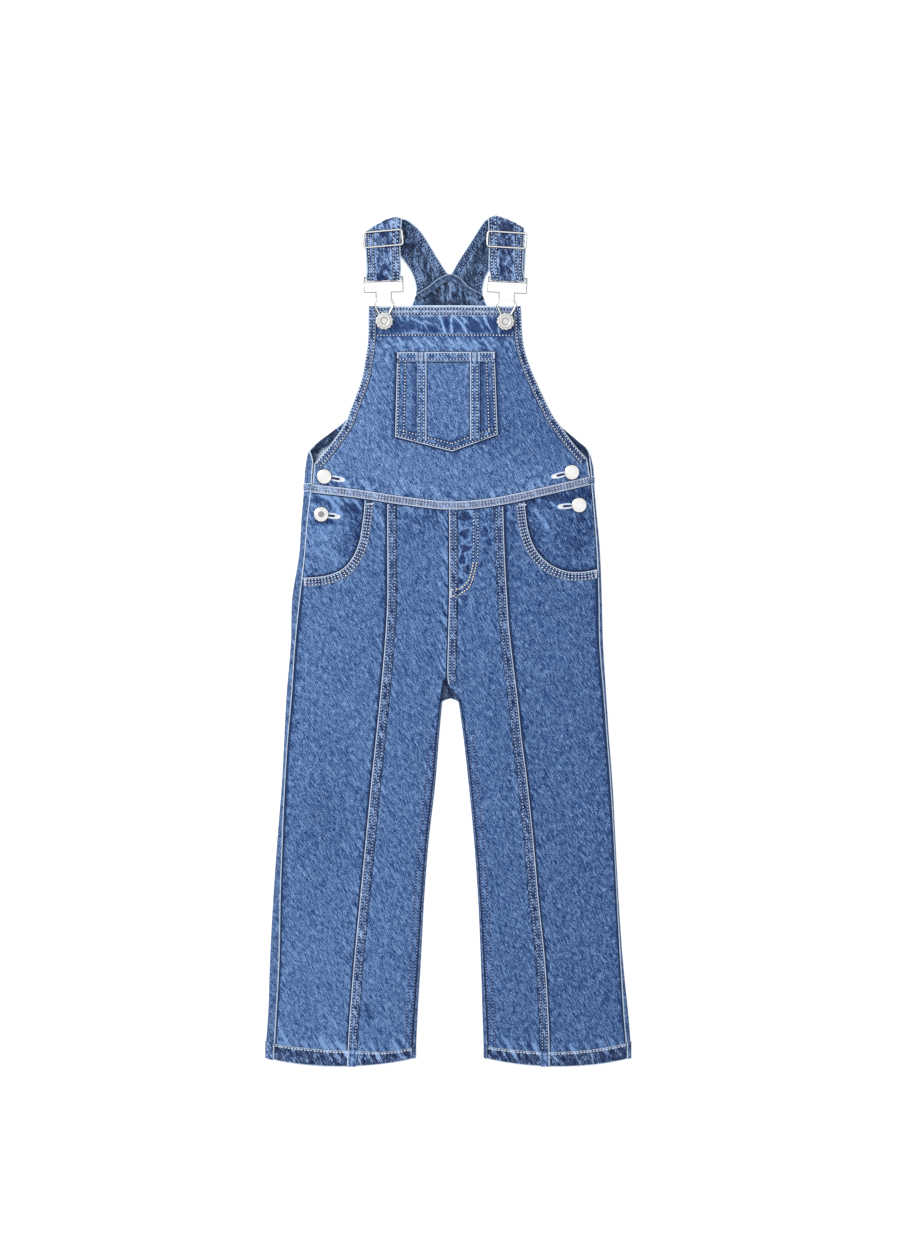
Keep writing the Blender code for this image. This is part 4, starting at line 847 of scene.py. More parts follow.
def grid_mesh(name, points, values):
    """A grid through rows of points, with values of its own at each point."""
    rows, columns = points.shape[:2]
    bm = bmesh.new()
    bmesh.ops.create_grid(bm, x_segments=columns - 1, y_segments=rows - 1, size=1)
    mesh = mesh_of(name, bm)
    mesh.vertices.foreach_set("co", (points.reshape(-1, 3) * MM).ravel())
    for key, value in values.items():
        layer = mesh.attributes.new(key, "FLOAT", "POINT")
        layer.data.foreach_set("value", np.broadcast_to(value, (rows, columns)).astype(np.float32).ravel())
    mesh.update()
    return mesh


def wrong_way(points, face_down):
    """Whether the grid has to be turned over for its outer face to look up, or down."""
    across = points[:-1, 1:] - points[:-1, :-1]
    up = points[1:, :-1] - points[:-1, :-1]
    z = np.cross(across, up)[..., 2]
    height = points[:-1, :-1, 2]
    picked = z[height <= height.min() + 0.05] if face_down else z[height >= np.percentile(height, 60)]
    return (picked.sum() > 0) == face_down


def cloth(name, points, wall, finish, stands_for=None, face_down=False, **values):
    """A wall of cloth whose outer face goes through the points, thickened inwards."""
    if wrong_way(points, face_down):
        points = points[:, ::-1]
        values = {key: value[:, ::-1] if np.ndim(value) == 2 else value for key, value in values.items()}
    plan = points[..., 0], points[..., 1]
    values = {"worn": 0.0, "ridge": 0.0, "shade": 0.0, "crease": creased(*plan), **values}
    # painted broad light and shade, added on every piece
    values["shade"] = values["shade"] + broad_shading(*plan)
    mesh = grid_mesh(name, points, values)
    mesh.materials.append(finish)
    mesh.materials.append(INSIDE)
    holder = in_scene(name, mesh)
    thick = holder.modifiers.new("wall", "SOLIDIFY")
    thick.thickness = wall * MM
    thick.offset = -1
    thick.material_offset = 1
    bpy.context.view_layer.update()
    walled = bpy.data.meshes.new_from_object(holder.evaluated_get(bpy.context.evaluated_depsgraph_get()))
    bpy.data.objects.remove(holder)
    walled.name = name
    walled.shade_smooth()
    walled.set_sharp_from_angle(angle=SMOOTH_ANGLE)
    made = keep(name, walled, (finish, INSIDE))
    if stands_for:
        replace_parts(made, stands_for)


def edge_drop(*distances):
    """How much lower the face is this far from its edges."""
    return EDGE_DROP * np.clip(1 - np.minimum.reduce(distances) / EDGE_STEPS[-1], 0, 1) ** 2


def rubbed_white(off, start=1.35, width=WORN_WIDTH):
    """1 on an edge that is rubbed white, fading to 0 with the distance from it."""
    return np.clip(start - off / width, 0, 1)


def beside_rows(off, rows, reach=0.75):
    """How near each distance is to a row of stitches, whose holes pull the cloth down into shadow."""
    return sum((bell((off - at) / reach) for at in rows), np.zeros(np.shape(off)))


def columns_in(length, step, start=True, end=True):
    """Shares of a length about one step apart, with closer ones at the edges that show."""
    near = EDGE_STEPS / length
    shares = np.linspace(0, 1, max(3, round(length / step)) + 1)
    low = near if start else shares[:1]
    high = 1 - near[::-1] if end else shares[-1:]
    clear = 0.4 * step / length
    return np.concatenate([low, shares[(shares > low[-1] + clear) & (shares < high[0] - clear)], high])


def strip_plan(guide, width, side, start=0.0):
    """Plan points of a strip beside a line, `side` +1 being the left of its direction, and how far off it they are."""
    across, along = columns_in(width, 0.62), columns_in(guide.length, 1.6, False, False)
    aside = sideways(guide, along)[1][:, None, :] * (across * width * side)[None, :, None]
    plan = beside(guide, along, start)[:, None, :] + aside
    return plan, np.broadcast_to(across * width, plan.shape[:2])


def strip(name, guide, width, side, above, stands_for, worn, rows, finish=STRIP, rubbed=0.0, dark=-1.45):
    """A strip sewn flat on the front beside a line. `worn` says how white its near and far edges are rubbed."""
    plan, off = strip_plan(guide, width, side)
    points, pucker = lie(plan, above)
    points[..., 2] -= edge_drop(off, width - off) + 0.15 * beside_rows(off, rows)
    white = np.maximum(rubbed_white(off) * worn[0], rubbed_white(width - off) * worn[1])
    rng = np.random.default_rng(len(name))
    knots = np.arange(0, guide.length + 3, 2.4)
    along = np.linspace(0, guide.length, len(plan))
    near, far = (np.interp(along, knots, rng.uniform(-1, 1, len(knots)))[:, None] for _ in range(2))
    share = off / width
    mottled = 0.55 * (near * (1 - share) + far * share)
    # `dark` sets the painted shade along the rows' holes
    cloth(name, points, TAPE, finish, stands_for, worn=np.maximum(white, rubbed), ridge=pucker * 0.9 + mottled,
          crease=0.5, shade=dark * beside_rows(off, rows))


def ribbons(name, runs, width, finish):
    """Thin lines laid on the cloth, each beside a guide: (guide, offset, height above the front, trimmed ends)."""
    verts, faces = [], []
    for guide, offset, above, (start, end) in runs:
        along = np.linspace(start, guide.length - end, max(3, round(guide.length / 1.8))) / guide.length
        points, _ = lie(np.stack([beside(guide, along, offset + k * width / 2) for k in (-1, 0, 1)], axis=1), above)
        points[:, 1, 2] += 0.04  # a little raised along its middle
        first = len(verts) + 3 * np.arange(len(points) - 1)[:, None] + (0, 1)
        faces += np.stack([first, first + 1, first + 4, first + 3], axis=-1).reshape(-1, 4).tolist()
        verts += (points.reshape(-1, 3) * MM).tolist()
    mesh = bpy.data.meshes.new(name)
    mesh.from_pydata(verts, [], faces)
    mesh.shade_smooth()
    keep(name, mesh, (finish,))


def painted_shadow_line(name, guide, offset, above, width=1.1, trim=(0.0, 0.0)):
    """A painted shadow line beside an edge, where the cloth below lies in its shadow."""
    ribbons(name, [(guide, offset, above, trim)], width, SHADOW)


print("cloth is made in grids about 2 mm fine, with columns at", EDGE_STEPS.tolist(), "mm from an edge")

# %% [markdown]
# ## Front of the legs
# Each front leg is cut in two panels joined by a felled seam, which is why there are four of them. The outer one
# is cut away in a curve at the hip, where the pocket's facing shows. They are filled between their own seam
# lines, so that neighbours meet exactly, a needle's width apart.

# %% Front panels and pocket facings
LEG_LENGTH, PANEL_WIDTH, CLOTH_STEP, FACING_WIDTH = 530.0, 70.0, 2.1, 60.0
CUTS = {}


def cut_of(points):
    """Width, length and area of the flat cut that a grid of points was laid from, in metres."""
    across, along = np.diff(points, axis=1), np.diff(points, axis=0)
    width = norm(across, axis=-1).sum(axis=1).max()
    length = norm(along, axis=-1).sum(axis=0).max()
    area = norm(np.cross(across[:-1], along[:, :-1]), axis=-1).sum()
    return width * MM, length * MM, area * MM * MM


def panel(name, plan, stands_for, across, above=0.0, far_edge=True, width=PANEL_WIDTH, **more):
    """A piece of the front laid from its plan, with its side edges rounded over and in shadow."""
    points, pucker = lie(plan, above)
    x, y = plan[..., 0], plan[..., 1]
    CUTS[name] = cut_of(np.dstack([x, y, front(x, y)]))
    off = np.broadcast_to(across * width, x.shape)
    near = np.minimum(off, width - off) if far_edge else off
    points[..., 2] -= edge_drop(near)
    shade = -2.5 * bell(near / 0.95)
    cloth(name, points, DENIM, FRONT, stands_for, **{"ridge": pucker * 1.3, "shade": shade, **more})


for side, out in OUTWARD.items():
    seam_top = WAIST_Y(PANEL_SEAM[side](SIDE_TOP_Y)) - SEAM
    seam_in, seam_out = (seam_line(side, PANEL_SEAM[side], seam_top, way * out * SEAM) for way in (-1, 1))
    inner = LEG_INNER[side]
    across = columns_in(PANEL_WIDTH, CLOTH_STEP)
    up = columns_in(LEG_LENGTH, CLOTH_STEP, False, False)
    fine = np.linspace(0, 24 / PANEL_WIDTH, 28)  # finer beside the fly and below the waist
    across_in = np.concatenate([fine, across[across > fine[-1] + 0.01]])
    across_out = 1 - across_in[::-1]
    up_in = np.concatenate([up[up < 0.745], np.linspace(0.75, 1.0, 96)])
    bottom = hem_line(side, inner(0)[0], seam_in(0)[0])
    top = waist_line(inner(1)[0], seam_in(1)[0], -SEAM)
    plan = patch(bottom, top, inner, seam_in, across_in, up_in)
    panel(f"inner_leg_panel_{side}", plan, f"front_inner_leg_{side}", across_in)

    mouth = POCKET_MOUTH[side]
    corner = (mouth[0][0], WAIST_Y(mouth[0][0]) - SEAM)
    low = (front_side(side, mouth[-1][1]), mouth[-1][1])
    side_line = seam_line(side, SIDE_EDGE[side], low[1], -out * ROLL_SEAM)
    top = line([low] + mouth[-2:0:-1] + [corner], [corner, seam_out(1)])
    bottom = hem_line(side, side_line(0)[0], seam_out(0)[0])
    plan = patch(bottom, top, side_line, seam_out, across_out, up_in)
    panel(f"outer_leg_panel_{side}", plan, f"front_outer_leg_{side}", across_out)


for side, out in OUTWARD.items():
    mouth = line(POCKET_MOUTH[side])
    rim = beside(mouth, np.linspace(0, 1, 25), FACING_OVERLAP * -out)
    rim = [(x, y) for x, y in rim if y < WAIST_Y(x) - 2]
    rim[0] = (rim[0][0], WAIST_Y(rim[0][0]) - SEAM)
    low_y = rim[-1][1]
    rim[-1] = (front_side(side, low_y), low_y)
    half = len(rim) // 2  # the rim's upper half is the facing's inner side, and its lower half the foot
    upper, lower = line(rim[: half + 1][::-1]), line(rim[half:][::-1])
    heights = np.linspace(low_y, WAIST_Y(front_side(side, SIDE_TOP_Y)) - SEAM, 6)
    side_run = line([(front_side(side, y), y) for y in heights])
    top = waist_line(side_run(1)[0], rim[0][0], -SEAM)
    across = columns_in(FACING_WIDTH, 1.0, True, False)
    plan = patch(lower, top, side_run, upper, across, np.linspace(0, 1, 90))
    x, y = plan[..., 0], plan[..., 1]
    edge = mouth(np.linspace(0, 1, 60))
    near = norm(plan[:, :, None, :] - edge, axis=-1).min(axis=-1)
    mouth_y = np.interp(np.abs(x), np.abs(edge[:, 0]), edge[:, 1])
    opened = (np.abs(x) > abs(edge[0, 0])) & (y > mouth_y)
    drop, shadow = (np.where(opened, bell(near / reach), 1.0) for reach in (FACING_REACH, 3.0))
    # painted light and shade: the left facing a little lighter, and painted shadow in the pocket's opening
    panel(f"hip_pocket_facing_{side}", plan, f"pocket_facing_{side}", across, -FACING_DROP * drop, False,
          FACING_WIDTH, shade=(0.1 if side == "left" else 0.0) - 1.1 * shadow, crease=np.maximum(0.5 - shadow, 0.15))

# %% [markdown]
# ## Felled seams and turned edges
# A felled seam folds both layers over each other and is sewn twice, so it stands up as a narrow strip. The same
# strip, in cloth worn pale, edges the pocket mouths, the armholes and the waist. They could be drawn on the
# panels, but real ones cast a small shadow and catch the light along one edge.

# %% Strips on the front
FELL_ROWS, FLY_ROWS, ARMHOLE_ROWS = (2.3, 6.6), (2.1, 6.2), (1.7, 5.6)
MOUTH_ROWS, WAIST_ROWS = (2.1, 4.4, 6.9), (1.5, 3.9, 6.2)
for side, out in OUTWARD.items():
    for name, guide, width, way, stands_for, worn, rows in (
        ("leg_fell", LEG_SEAM, FELL_WIDTH, out, "panel_seam", (0.9, 0.0), FELL_ROWS),
        ("hip_pocket_band", MOUTH, POCKET_EDGE_WIDTH, -out, "pocket_edge", (1.0, 0.3), MOUTH_ROWS),
        ("armhole_tape", ARMHOLE, BINDING_WIDTH, out, "armhole_binding", (1.25, 0.4), ARMHOLE_ROWS),
    ):
        strip(f"{name}_{side}", guide[side], width, way, STRIP_STEP, f"{stands_for}_{side}", worn, rows)
strip("fly_fell", FLY, FLY_WIDTH, 1, STRIP_STEP, "centre_front_seam", (0.9, 0.0), FLY_ROWS)
strip("waist_band", WAIST_SEAM, WAIST_WIDTH, 1, STRIP_STEP, "waist_seam_front", (1.1, 1.0), WAIST_ROWS,
      rubbed=0.15, dark=-0.65)

# %% [markdown]
# ## Bib and its pocket
# The bib is one panel from the waist up, hollowed at the sides for the arms. Its pocket is a patch with a pointed
# foot, a wide hem and two felled strips down it. The patch is laid on the bib one gap higher than its wall, so
# its edge shows a real step all round.

# %% Bib
BIB_WIDTH, BIB_HEIGHT = 170.0, 185.0
BIB_SIDE = {}
for side in SIDES:
    foot = (front_side(side, SIDE_TOP_Y), WAIST_Y(SIDE_EDGE[side](SIDE_TOP_Y)) + SEAM)
    BIB_SIDE[side] = line([foot, armhole(side)[0]], armhole(side))
left, right = BIB_SIDE["left"], BIB_SIDE["right"]
across = columns_in(BIB_WIDTH, 1.25)
up = columns_in(BIB_HEIGHT, 2.0, False, True)
up = np.concatenate([up[up < 0.765], np.linspace(0.77, 0.985, 44), up[up > 0.989]])  # finer along its hem
bib_top = line([left(1), BIB_TOP_MIDDLE, right(1)])
plan = patch(waist_line(left(0)[0], right(0)[0], SEAM), bib_top, left, right, across, up)
points, pucker = lie(plan)
CUTS["bib_cloth"] = cut_of(points)
from_side, from_top = np.meshgrid(np.minimum(across, 1 - across) * BIB_WIDTH, (1 - up) * BIB_HEIGHT)
points[..., 2] -= edge_drop(from_top, from_side)
rub = np.maximum(rubbed_white(from_top, 1.5, 1.2), 0.7 * rubbed_white(from_side, 1.2, 0.9))
speckle = np.random.default_rng(4).random(rub.shape)
rub = np.maximum(rub, 1.1 * speckle * turn_in((9.0 - from_side) / 3) * turn_in((44 - from_top) / 6))
rub = np.maximum(rub, 0.6 * speckle * turn_in((10.0 - from_top) / 2))
low = turn_in((from_top - 8) / 2) * turn_in((31 - from_top) / 3)
# painted shade along the rows under the bib's top hem, and painted shadow beside the pocket's sides and foot
dark = -0.8 * beside_rows(from_top, (3.3, 7.7), 0.9)
for guide, way, shadow_depth in ((POCKET_LEFT, 1, 0.9), (POCKET_RIGHT, -1, 0.6), (POCKET_FOOT, -1, 0.5)):
    off, along, _ = measure(guide, plan[..., 0], plan[..., 1])
    dark = dark - shadow_depth * bell((off * way - 1.0) / 2.6) * ((along > 0) & (along < guide.length))
cloth("bib_cloth", points, DENIM, FADED, "bib_front", worn=rub, ridge=pucker * (1.1 + 0.8 * low) - 0.32 * low,
      shade=dark)

# %% Bib pocket, its hem and its strips
POCKET_WIDE, POCKET_HIGH = 96, 86
POCKET_ABOVE = GAP + DENIM
POCKET_STEP = POCKET_ABOVE + GAP + TAPE
POCKET_HEM_ROWS, POCKET_ROWS = (2.2, 6.9), (2.4, 6.6)
across, up = columns_in(POCKET_WIDE, 1.1), columns_in(POCKET_HIGH, 1.3)
plan = patch(POCKET_FOOT, POCKET_HEAD, POCKET_LEFT, POCKET_RIGHT, across, up)
points, pucker = lie(plan, POCKET_ABOVE)
CUTS["chest_pocket"] = cut_of(points)
off = np.minimum(*np.meshgrid(np.minimum(across, 1 - across) * POCKET_WIDE, np.minimum(up, 1 - up) * POCKET_HIGH))
points[..., 2] -= edge_drop(off)
# painted shade along the rows round the pocket's edge, and darker bands beside each strip
margin = -1.2 * beside_rows(off, (2.0, 8.0), 0.9)
for side, way in OUTWARD.items():
    far = (plan[..., 0] - POCKET_SEAM_X[side]) * way - (POCKET_STRIP if way > 0 else 0)
    margin = margin - 0.55 * bell((far - 2.5) / 3.0)
knots = np.arange(-60, 60, 2.3)
dashes = np.interp(plan[..., 0], knots, np.random.default_rng(8).uniform(-1, 1, len(knots)))
dashes = 0.75 * dashes * bell((off - 5.5) / 3.0) * (up < 0.5)[:, None]
cloth("chest_pocket", points, DENIM, FADED, "bib_pocket", worn=0.95 * rubbed_white(off, 1.4, 0.7),
      ridge=pucker * 1.3 + dashes, shade=margin)

pocket_top = POCKET_TOP[0][1]
hem_share = 1 - POCKET_HEM / (pocket_top - POCKET_SIDES[0][1])
POCKET_HEM_LINE = line([POCKET_LEFT(hem_share), POCKET_RIGHT(hem_share)])
strip("chest_pocket_hem", POCKET_HEM_LINE, POCKET_HEM, 1, POCKET_STEP, "pocket_hem", (0.3, 0.9), POCKET_HEM_ROWS,
      FADED, dark=-1.3)
POCKET_LINE = {}
for side, way in OUTWARD.items():  # each strip is whitest on its edge towards the pocket's middle
    x = POCKET_SEAM_X[side]
    low = np.interp(x + POCKET_STRIP / 2, *zip(POCKET_SIDES[0], POCKET_TIP, POCKET_SIDES[1])) + 2.5
    POCKET_LINE[side] = line([(x, low), (x, pocket_top - POCKET_HEM - GAP)])
    strip(f"chest_pocket_strip_{side}", POCKET_LINE[side], POCKET_STRIP, -1, POCKET_STEP, f"pocket_seam_{side}",
          (0.1, 1.0)[::-way], POCKET_ROWS, FADED, dark=-1.3)
for side, way in OUTWARD.items():
    x = POCKET_SEAM_X[side]
    turned = line([(x, pocket_top - POCKET_HEM), (x, pocket_top - 0.2)])
    strip(f"chest_pocket_strip_top_{side}", turned, POCKET_STRIP, -1, POCKET_STEP + 0.45, None, (0.6, 1.0)[::-way],
          (1.4, 6.6), FADED, 0.3)
print("bib", [round(v, 3) for v in CUTS["bib_cloth"]], "pocket", [round(v, 3) for v in CUTS["chest_pocket"]])

# %% [markdown]
# ## Back, rolled up round the sides
# The back panels lie on the table and turn up at the side seams, so that a narrow band of them shows beside the
# front. Each leg's back is a row of cross-sections, from the outer seam, under the leg and up to the inner seam.
# Where the bodice narrows for the armholes the roll opens until it lies flat.

# %% Cross-sections of the back
ROLL_ANGLES = np.radians(np.arange(0, 91, 10))


def rolled(wrap, amount, lift):
    """Where the cloth goes past the table at a side: (outwards, up) from where it leaves the table."""
    radius = EDGE_RADIUS + lift / 2
    quarter = np.stack([radius * np.sin(ROLL_ANGLES), radius * (1 - np.cos(ROLL_ANGLES))], axis=1)
    near_edge = np.array([1.5, 0.8, 0.35, 0.0])
    d = np.concatenate([wrap * np.array([0.06, 0.16, 0.3, 0.45, 0.6, 0.75]), np.maximum(wrap - near_edge, wrap * 0.8)])
    d = np.unique(np.round(d, 4))
    d = np.interp(np.linspace(0, 1, 10), np.linspace(0, 1, len(d)), d)
    over = np.stack([radius - d, rise(d) + lift * np.minimum(1, 0.5 + d / EDGE_RADIUS / 2)], axis=1)
    steps = np.diff(np.concatenate([quarter, over]), axis=0)
    heading = amount * np.arctan2(steps[:, 1], steps[:, 0])
    length = np.hypot(*steps.T)
    steps = np.stack([length * np.cos(heading), length * np.sin(heading)], axis=1)
    return np.concatenate([[(0, 0)], np.cumsum(steps, axis=0)])


def side_points(outline, direction, wrap, amount, lift=0.0):
    path = rolled(wrap, amount, lift)
    foot = outline - direction * path[:, 0].max()
    return np.stack([foot + direction * path[:, 0], path[:, 1]], axis=1)


def ring(first, second, flats):
    """(x, z) right round from the end of one side's cloth to the end of the other's."""
    t = np.linspace(0, 1, flats + 1)[1:-1]
    between = np.stack([mix(first[0, 0], second[0, 0], t), np.zeros(len(t))], axis=1)
    return np.concatenate([first[::-1], between, second])


def back_section(side, y, lift=0.0, flats=26):
    """A leg's back at one height, from the front's outer edge under the leg to the front's inner edge."""
    out = OUTWARD[side]
    wrap = abs(OUTLINE[side](y) - SIDE_EDGE[side](y)) - ROLL_SEAM
    outer = side_points(OUTLINE[side](y) + out * lift * 0.6, out, wrap, 1.0, lift)
    amount = turn_in((CROTCH_Y - y) / CROTCH_TURN)
    inner_x = mix(CENTRE_BACK_X + out * SEAM, INNER_OUTLINE[side](y), math.sqrt(amount))
    ease = CROTCH_EASE * math.exp(min(0, y - CROTCH_Y) / CROTCH_TURN)
    wrap = abs(INNER_OUTLINE[side](y) - INSEAM[side](y)) - ROLL_SEAM - ease
    return ring(outer, side_points(inner_x - out * lift * 0.6, -out, wrap, amount, lift), flats)


def on_roll(name, points):
    """The rolled cloth takes the front's creases where it lies on top, and has a worn edge at both ends."""
    CUTS[name] = cut_of(points)
    x, y, z = points[..., 0], points[..., 1], points[..., 2]
    height, pucker = relief(x, y)
    share = turn_in((z - 4.5) / 2)
    points[..., 2] += height * share
    start = np.pad(np.cumsum(norm(np.diff(points, axis=1), axis=-1), axis=1), ((0, 0), (1, 0)))
    near = np.minimum(start, start[:, -1:] - start)
    raised = share > 0.5
    inner = np.abs(x - CENTRE_BACK_X) < np.abs(OUTLINE["right"](np.clip(y, -390, 170)) - CENTRE_BACK_X) - 40
    white = np.where(inner & (y < 60), 0.1, np.where(y < 60, 0.75, 1.0))
    points[..., 2] -= np.where(raised, 0.6 * edge_drop(near), 0)
    return points, np.where(raised, rubbed_white(near, 1.4, 0.9) * white, 0), pucker * share * 1.3


def finer(heights, step):
    """The same heights, with more between them."""
    runs = [np.linspace(a, b, max(2, round((b - a) / step) + 1))[:-1] for a, b in zip(heights, heights[1:])]
    return np.concatenate(runs + [heights[-1:]])


BACK_HEIGHTS = (
    -384, -368, -340, -300, -260, -220, -180, -140, -105, -80, -68, -61, -58.0, -56.6, -55.6, -55.0, -54.4,
    -48, -36, -15, 12, 40, 68, 96, 124, 150,
)
HEM_FADE_Y, WAIST_FADE_Y = -300.0, 12.0
for side in SIDES:
    rows = []
    for y in finer(BACK_HEIGHTS, 3.5):
        foot = turn_in((HEM_FADE_Y - y) / (HEM_FADE_Y - BACK_HEIGHTS[0]))
        head = turn_in((y - WAIST_FADE_Y) / (WAIST_BACK_Y - WAIST_FADE_Y))
        x, z = back_section(side, y).T
        shift = (hem_top(side, x) + GAP - BACK_HEIGHTS[0]) * foot + (waist_back(x) - WAIST_BACK_Y - SEAM) * head
        rows.append(np.column_stack([x, y + shift, z]))
    name = f"back_leg_cloth_{side}"
    points, rub, hill = on_roll(name, np.array(rows))
    cloth(name, points, DENIM, BACK, f"back_leg_{side}", True, worn=rub, ridge=hill)

# %% Hems of the legs
HEM_SECTION_Y = HEM_SIDE_Y + HEM_DEPTH / 2
HEM_FELL, FELL_RAISE = 0.6, 0.4  # the fell across a hem: its wall, and how far it stands above the hem
up = np.array([0, 0.03, 0.08, 0.15, *np.linspace(0.25, 0.85, 6), 0.92, 0.97, 1.0])
for side, out in OUTWARD.items():
    section = back_section(side, HEM_SECTION_Y, HEM_LIFT, 40)
    x, share = np.meshgrid(section[:, 0], up)
    y = mix(hem_bottom(side, x), hem_top(side, x), share)
    name = f"leg_hem_back_{side}"
    points, rub, hill = on_roll(name, np.dstack([x, y, np.broadcast_to(section[:, 1], x.shape)]))
    cloth(name, points, HEM, STRIP, f"hem_back_{side}", True, worn=rub, ridge=hill, crease=0.7)

    outer_x = front_side(side, HEM_SECTION_Y)
    inner_x = INSEAM[side](HEM_SECTION_Y) + out * ROLL_SEAM
    x, share = np.meshgrid(mix(outer_x, inner_x, columns_in(abs(outer_x - inner_x), 1.0)), up)
    y = mix(hem_bottom(side, x), hem_top(side, x), share)
    height, pucker = relief(x, y)
    flat = front(x, HEM_SECTION_Y) + HEM_LIFT
    CUTS[f"leg_hem_front_{side}"] = cut_of(np.dstack([x, y, flat]))
    z = flat + height - edge_drop(np.minimum(share, 1 - share) * HEM_DEPTH)
    rub = np.maximum(1.1 - share * HEM_DEPTH / 0.9, 0.6 * (1.2 - (1 - share) * HEM_DEPTH / 0.8))
    foot, above = LEG_SEAM[side](0.0), LEG_SEAM[side](0.08)
    lean = (above[0] - foot[0]) / (above[1] - foot[1])
    off = (x - foot[0] - lean * (y - foot[1])) * out
    # painted shadow beside the outer side of the fell that crosses the hem
    cloth(f"leg_hem_front_{side}", np.dstack([x, y, z]), HEM, STRIP, f"hem_front_{side}", worn=np.clip(rub, 0, 1),
          ridge=pucker * 2.6 - 0.45, crease=0.9, shade=-2.4 * bell((off + 1.2) / 1.1))

    end_x = foot[0] - lean * HEM_DEPTH
    end = np.array([end_x, hem_bottom(side, end_x) + 0.4])
    plan, off = strip_plan(line([end, mix(end, foot, 0.98)]), FELL_WIDTH, out)
    x, y = plan[..., 0], plan[..., 1]
    z = front(x, HEM_SECTION_Y) + HEM_LIFT + FELL_RAISE + relief(x, y)[0]
    cloth(f"leg_hem_fell_{side}", np.dstack([plan, z - edge_drop(off, FELL_WIDTH - off)]), HEM_FELL, FADED,
          worn=rubbed_white(off), ridge=0.3, crease=0.6, shade=-0.9 * beside_rows(off, FELL_ROWS))

# %% Back of the bodice, and the tapes inside its armholes
WAIST_X = {s: OUTLINE[s](SIDE_TOP_Y) for s in SIDES}
WRAP = {s: abs(WAIST_X[s] - SIDE_EDGE[s](SIDE_TOP_Y)) - ROLL_SEAM for s in SIDES}
TOP_Y, TOP_LEFT, TOP_RIGHT, _ = BODICE[-1]

table = [(WAIST_BACK_Y, WAIST_X["left"], WAIST_X["right"], 1.0)] + BODICE
at = {name: reader(BODICE_COLUMNS, table, name) for name in BODICE_COLUMNS[1:]}
rows = []
for y in finer([row[0] for row in table], 2.6):
    amount = np.clip(at["roll"](y), 0, 1)
    x, z = ring(*(side_points(at[s](y), out, WRAP[s], amount) for s, out in OUTWARD.items()), 60).T
    foot = 1 - turn_in((y - WAIST_BACK_Y) / BODICE_FOOT_FADE)
    head = turn_in((y - BODICE_HEAD_Y) / (TOP_Y - BODICE_HEAD_Y))
    top = np.interp(x, [TOP_LEFT, BODICE_PEAK[0], TOP_RIGHT], [TOP_Y, BODICE_PEAK[1], TOP_Y])
    shift = (waist_back(x) + SEAM - WAIST_BACK_Y) * foot + (top - TOP_Y) * head
    rows.append(np.column_stack([x, y + shift, z]))
points, rub, hill = on_roll("back_cloth", np.array(rows))
x, y = points[..., 0], points[..., 1]
inside = turn_in((y - 292) / 6)
BACK_EDGE = {s: line([(at[s](v), v) for v in np.linspace(172, 222, 12)]) for s in SIDES}
from_edge = np.minimum(*(np.abs(measure(BACK_EDGE[s], x, y)[0]) for s in SIDES))
low = turn_in((y - 168) / 3) * turn_in((205 - y) / 3) * turn_in((np.abs(x) - 96) / 3)
taped = low * turn_in((7.2 - from_edge) / 1.2) * turn_in((y - 174) / 2)
light = low * turn_in((from_edge - 7.4) / 1.5) * turn_in((188 - y) / 6)
# painted shade along the tape's rows, and a painted shadow line beside the tape's edge
dark = -0.9 * taped * beside_rows(from_edge, (1.8, 5.4), 0.9) - 0.7 * low * bell((from_edge - 8.0) / 1.6)
cloth("back_cloth", points, DENIM, BACK, "back_bodice", True, worn=np.maximum(rub, 0.85 * light),
      ridge=hill - 0.2 * taped + inside * (2.6 * relief(x, y)[1] - 0.25), crease=np.maximum(0.3, inside), shade=dark)

SEAT_WIDTH, SEAT_FELL = 6.0, 0.3  # the felled seam inside the seat: its width and its wall
plan, off = strip_plan(line([(CENTRE_BACK_X, CROTCH_Y + 0.6), (CENTRE_BACK_X, CROTCH_Y + 60)]), SEAT_WIDTH, 1)
plan[..., 0] += SEAT_WIDTH / 2
z = DENIM + 0.35 - 0.5 * edge_drop(off, SEAT_WIDTH - off)
# painted shade: the seat seam is darkened, where the back lies in shadow between the legs
cloth("seat_fell", np.dstack([plan, z]), SEAT_FELL, INSIDE, shade=-0.5)

for side, out in OUTWARD.items():
    edge = BODICE_COLUMNS.index(side)
    run = [np.array((row[edge], row[0]), float) for row in BODICE if row[0] > 200.0]
    run[-1] = mix(run[-2], run[-1], 0.85)
    plan, off = strip_plan(line(run), BINDING_WIDTH, out)
    z = DENIM + GAP + TAPE - edge_drop(off, BINDING_WIDTH - off)
    cloth(f"back_tape_{side}", np.dstack([plan, z]), TAPE, STRIP, f"back_binding_{side}",
          worn=rubbed_white(off, 1.2, 0.9) * 0.8)
print("back pieces made, cut of one back leg:", [round(v, 3) for v in CUTS["back_leg_cloth_left"]])

# %% [markdown]
# ## Shoulder straps
# A strap is one long strip. It leaves the back at its peak, folds over at the shoulder, comes down the front,
# passes round the bar of its clip and returns behind itself. Its rows of points are listed along that way, and
# its ridges are pushed out along the strap's own face, which turns over with it.

# %% Straps
STRAP_GRID = {}
FOLD_RAISE = np.array([(0.0, 4.5), (0.0, 2.0)])  # the soft corners of the fold lie inside its straight line
STRAP_ROWS = (2.9, 6.8, STRAP_WIDTH - 6.8, STRAP_WIDTH - 2.9)
STRAP_RIBS = (4.9, 9.2, STRAP_WIDTH - 9.2, STRAP_WIDTH - 4.9)
RIB_PERIOD = 7.5
STRAP_STEP = 1.6
ROLL_STEPS = np.radians(np.arange(-90, 91, 9))


def at_plan(x, y, turn, z=0.0):
    return Matrix.Translation((x, y, z)) @ Matrix.Rotation(math.radians(turn), 4, "Z")


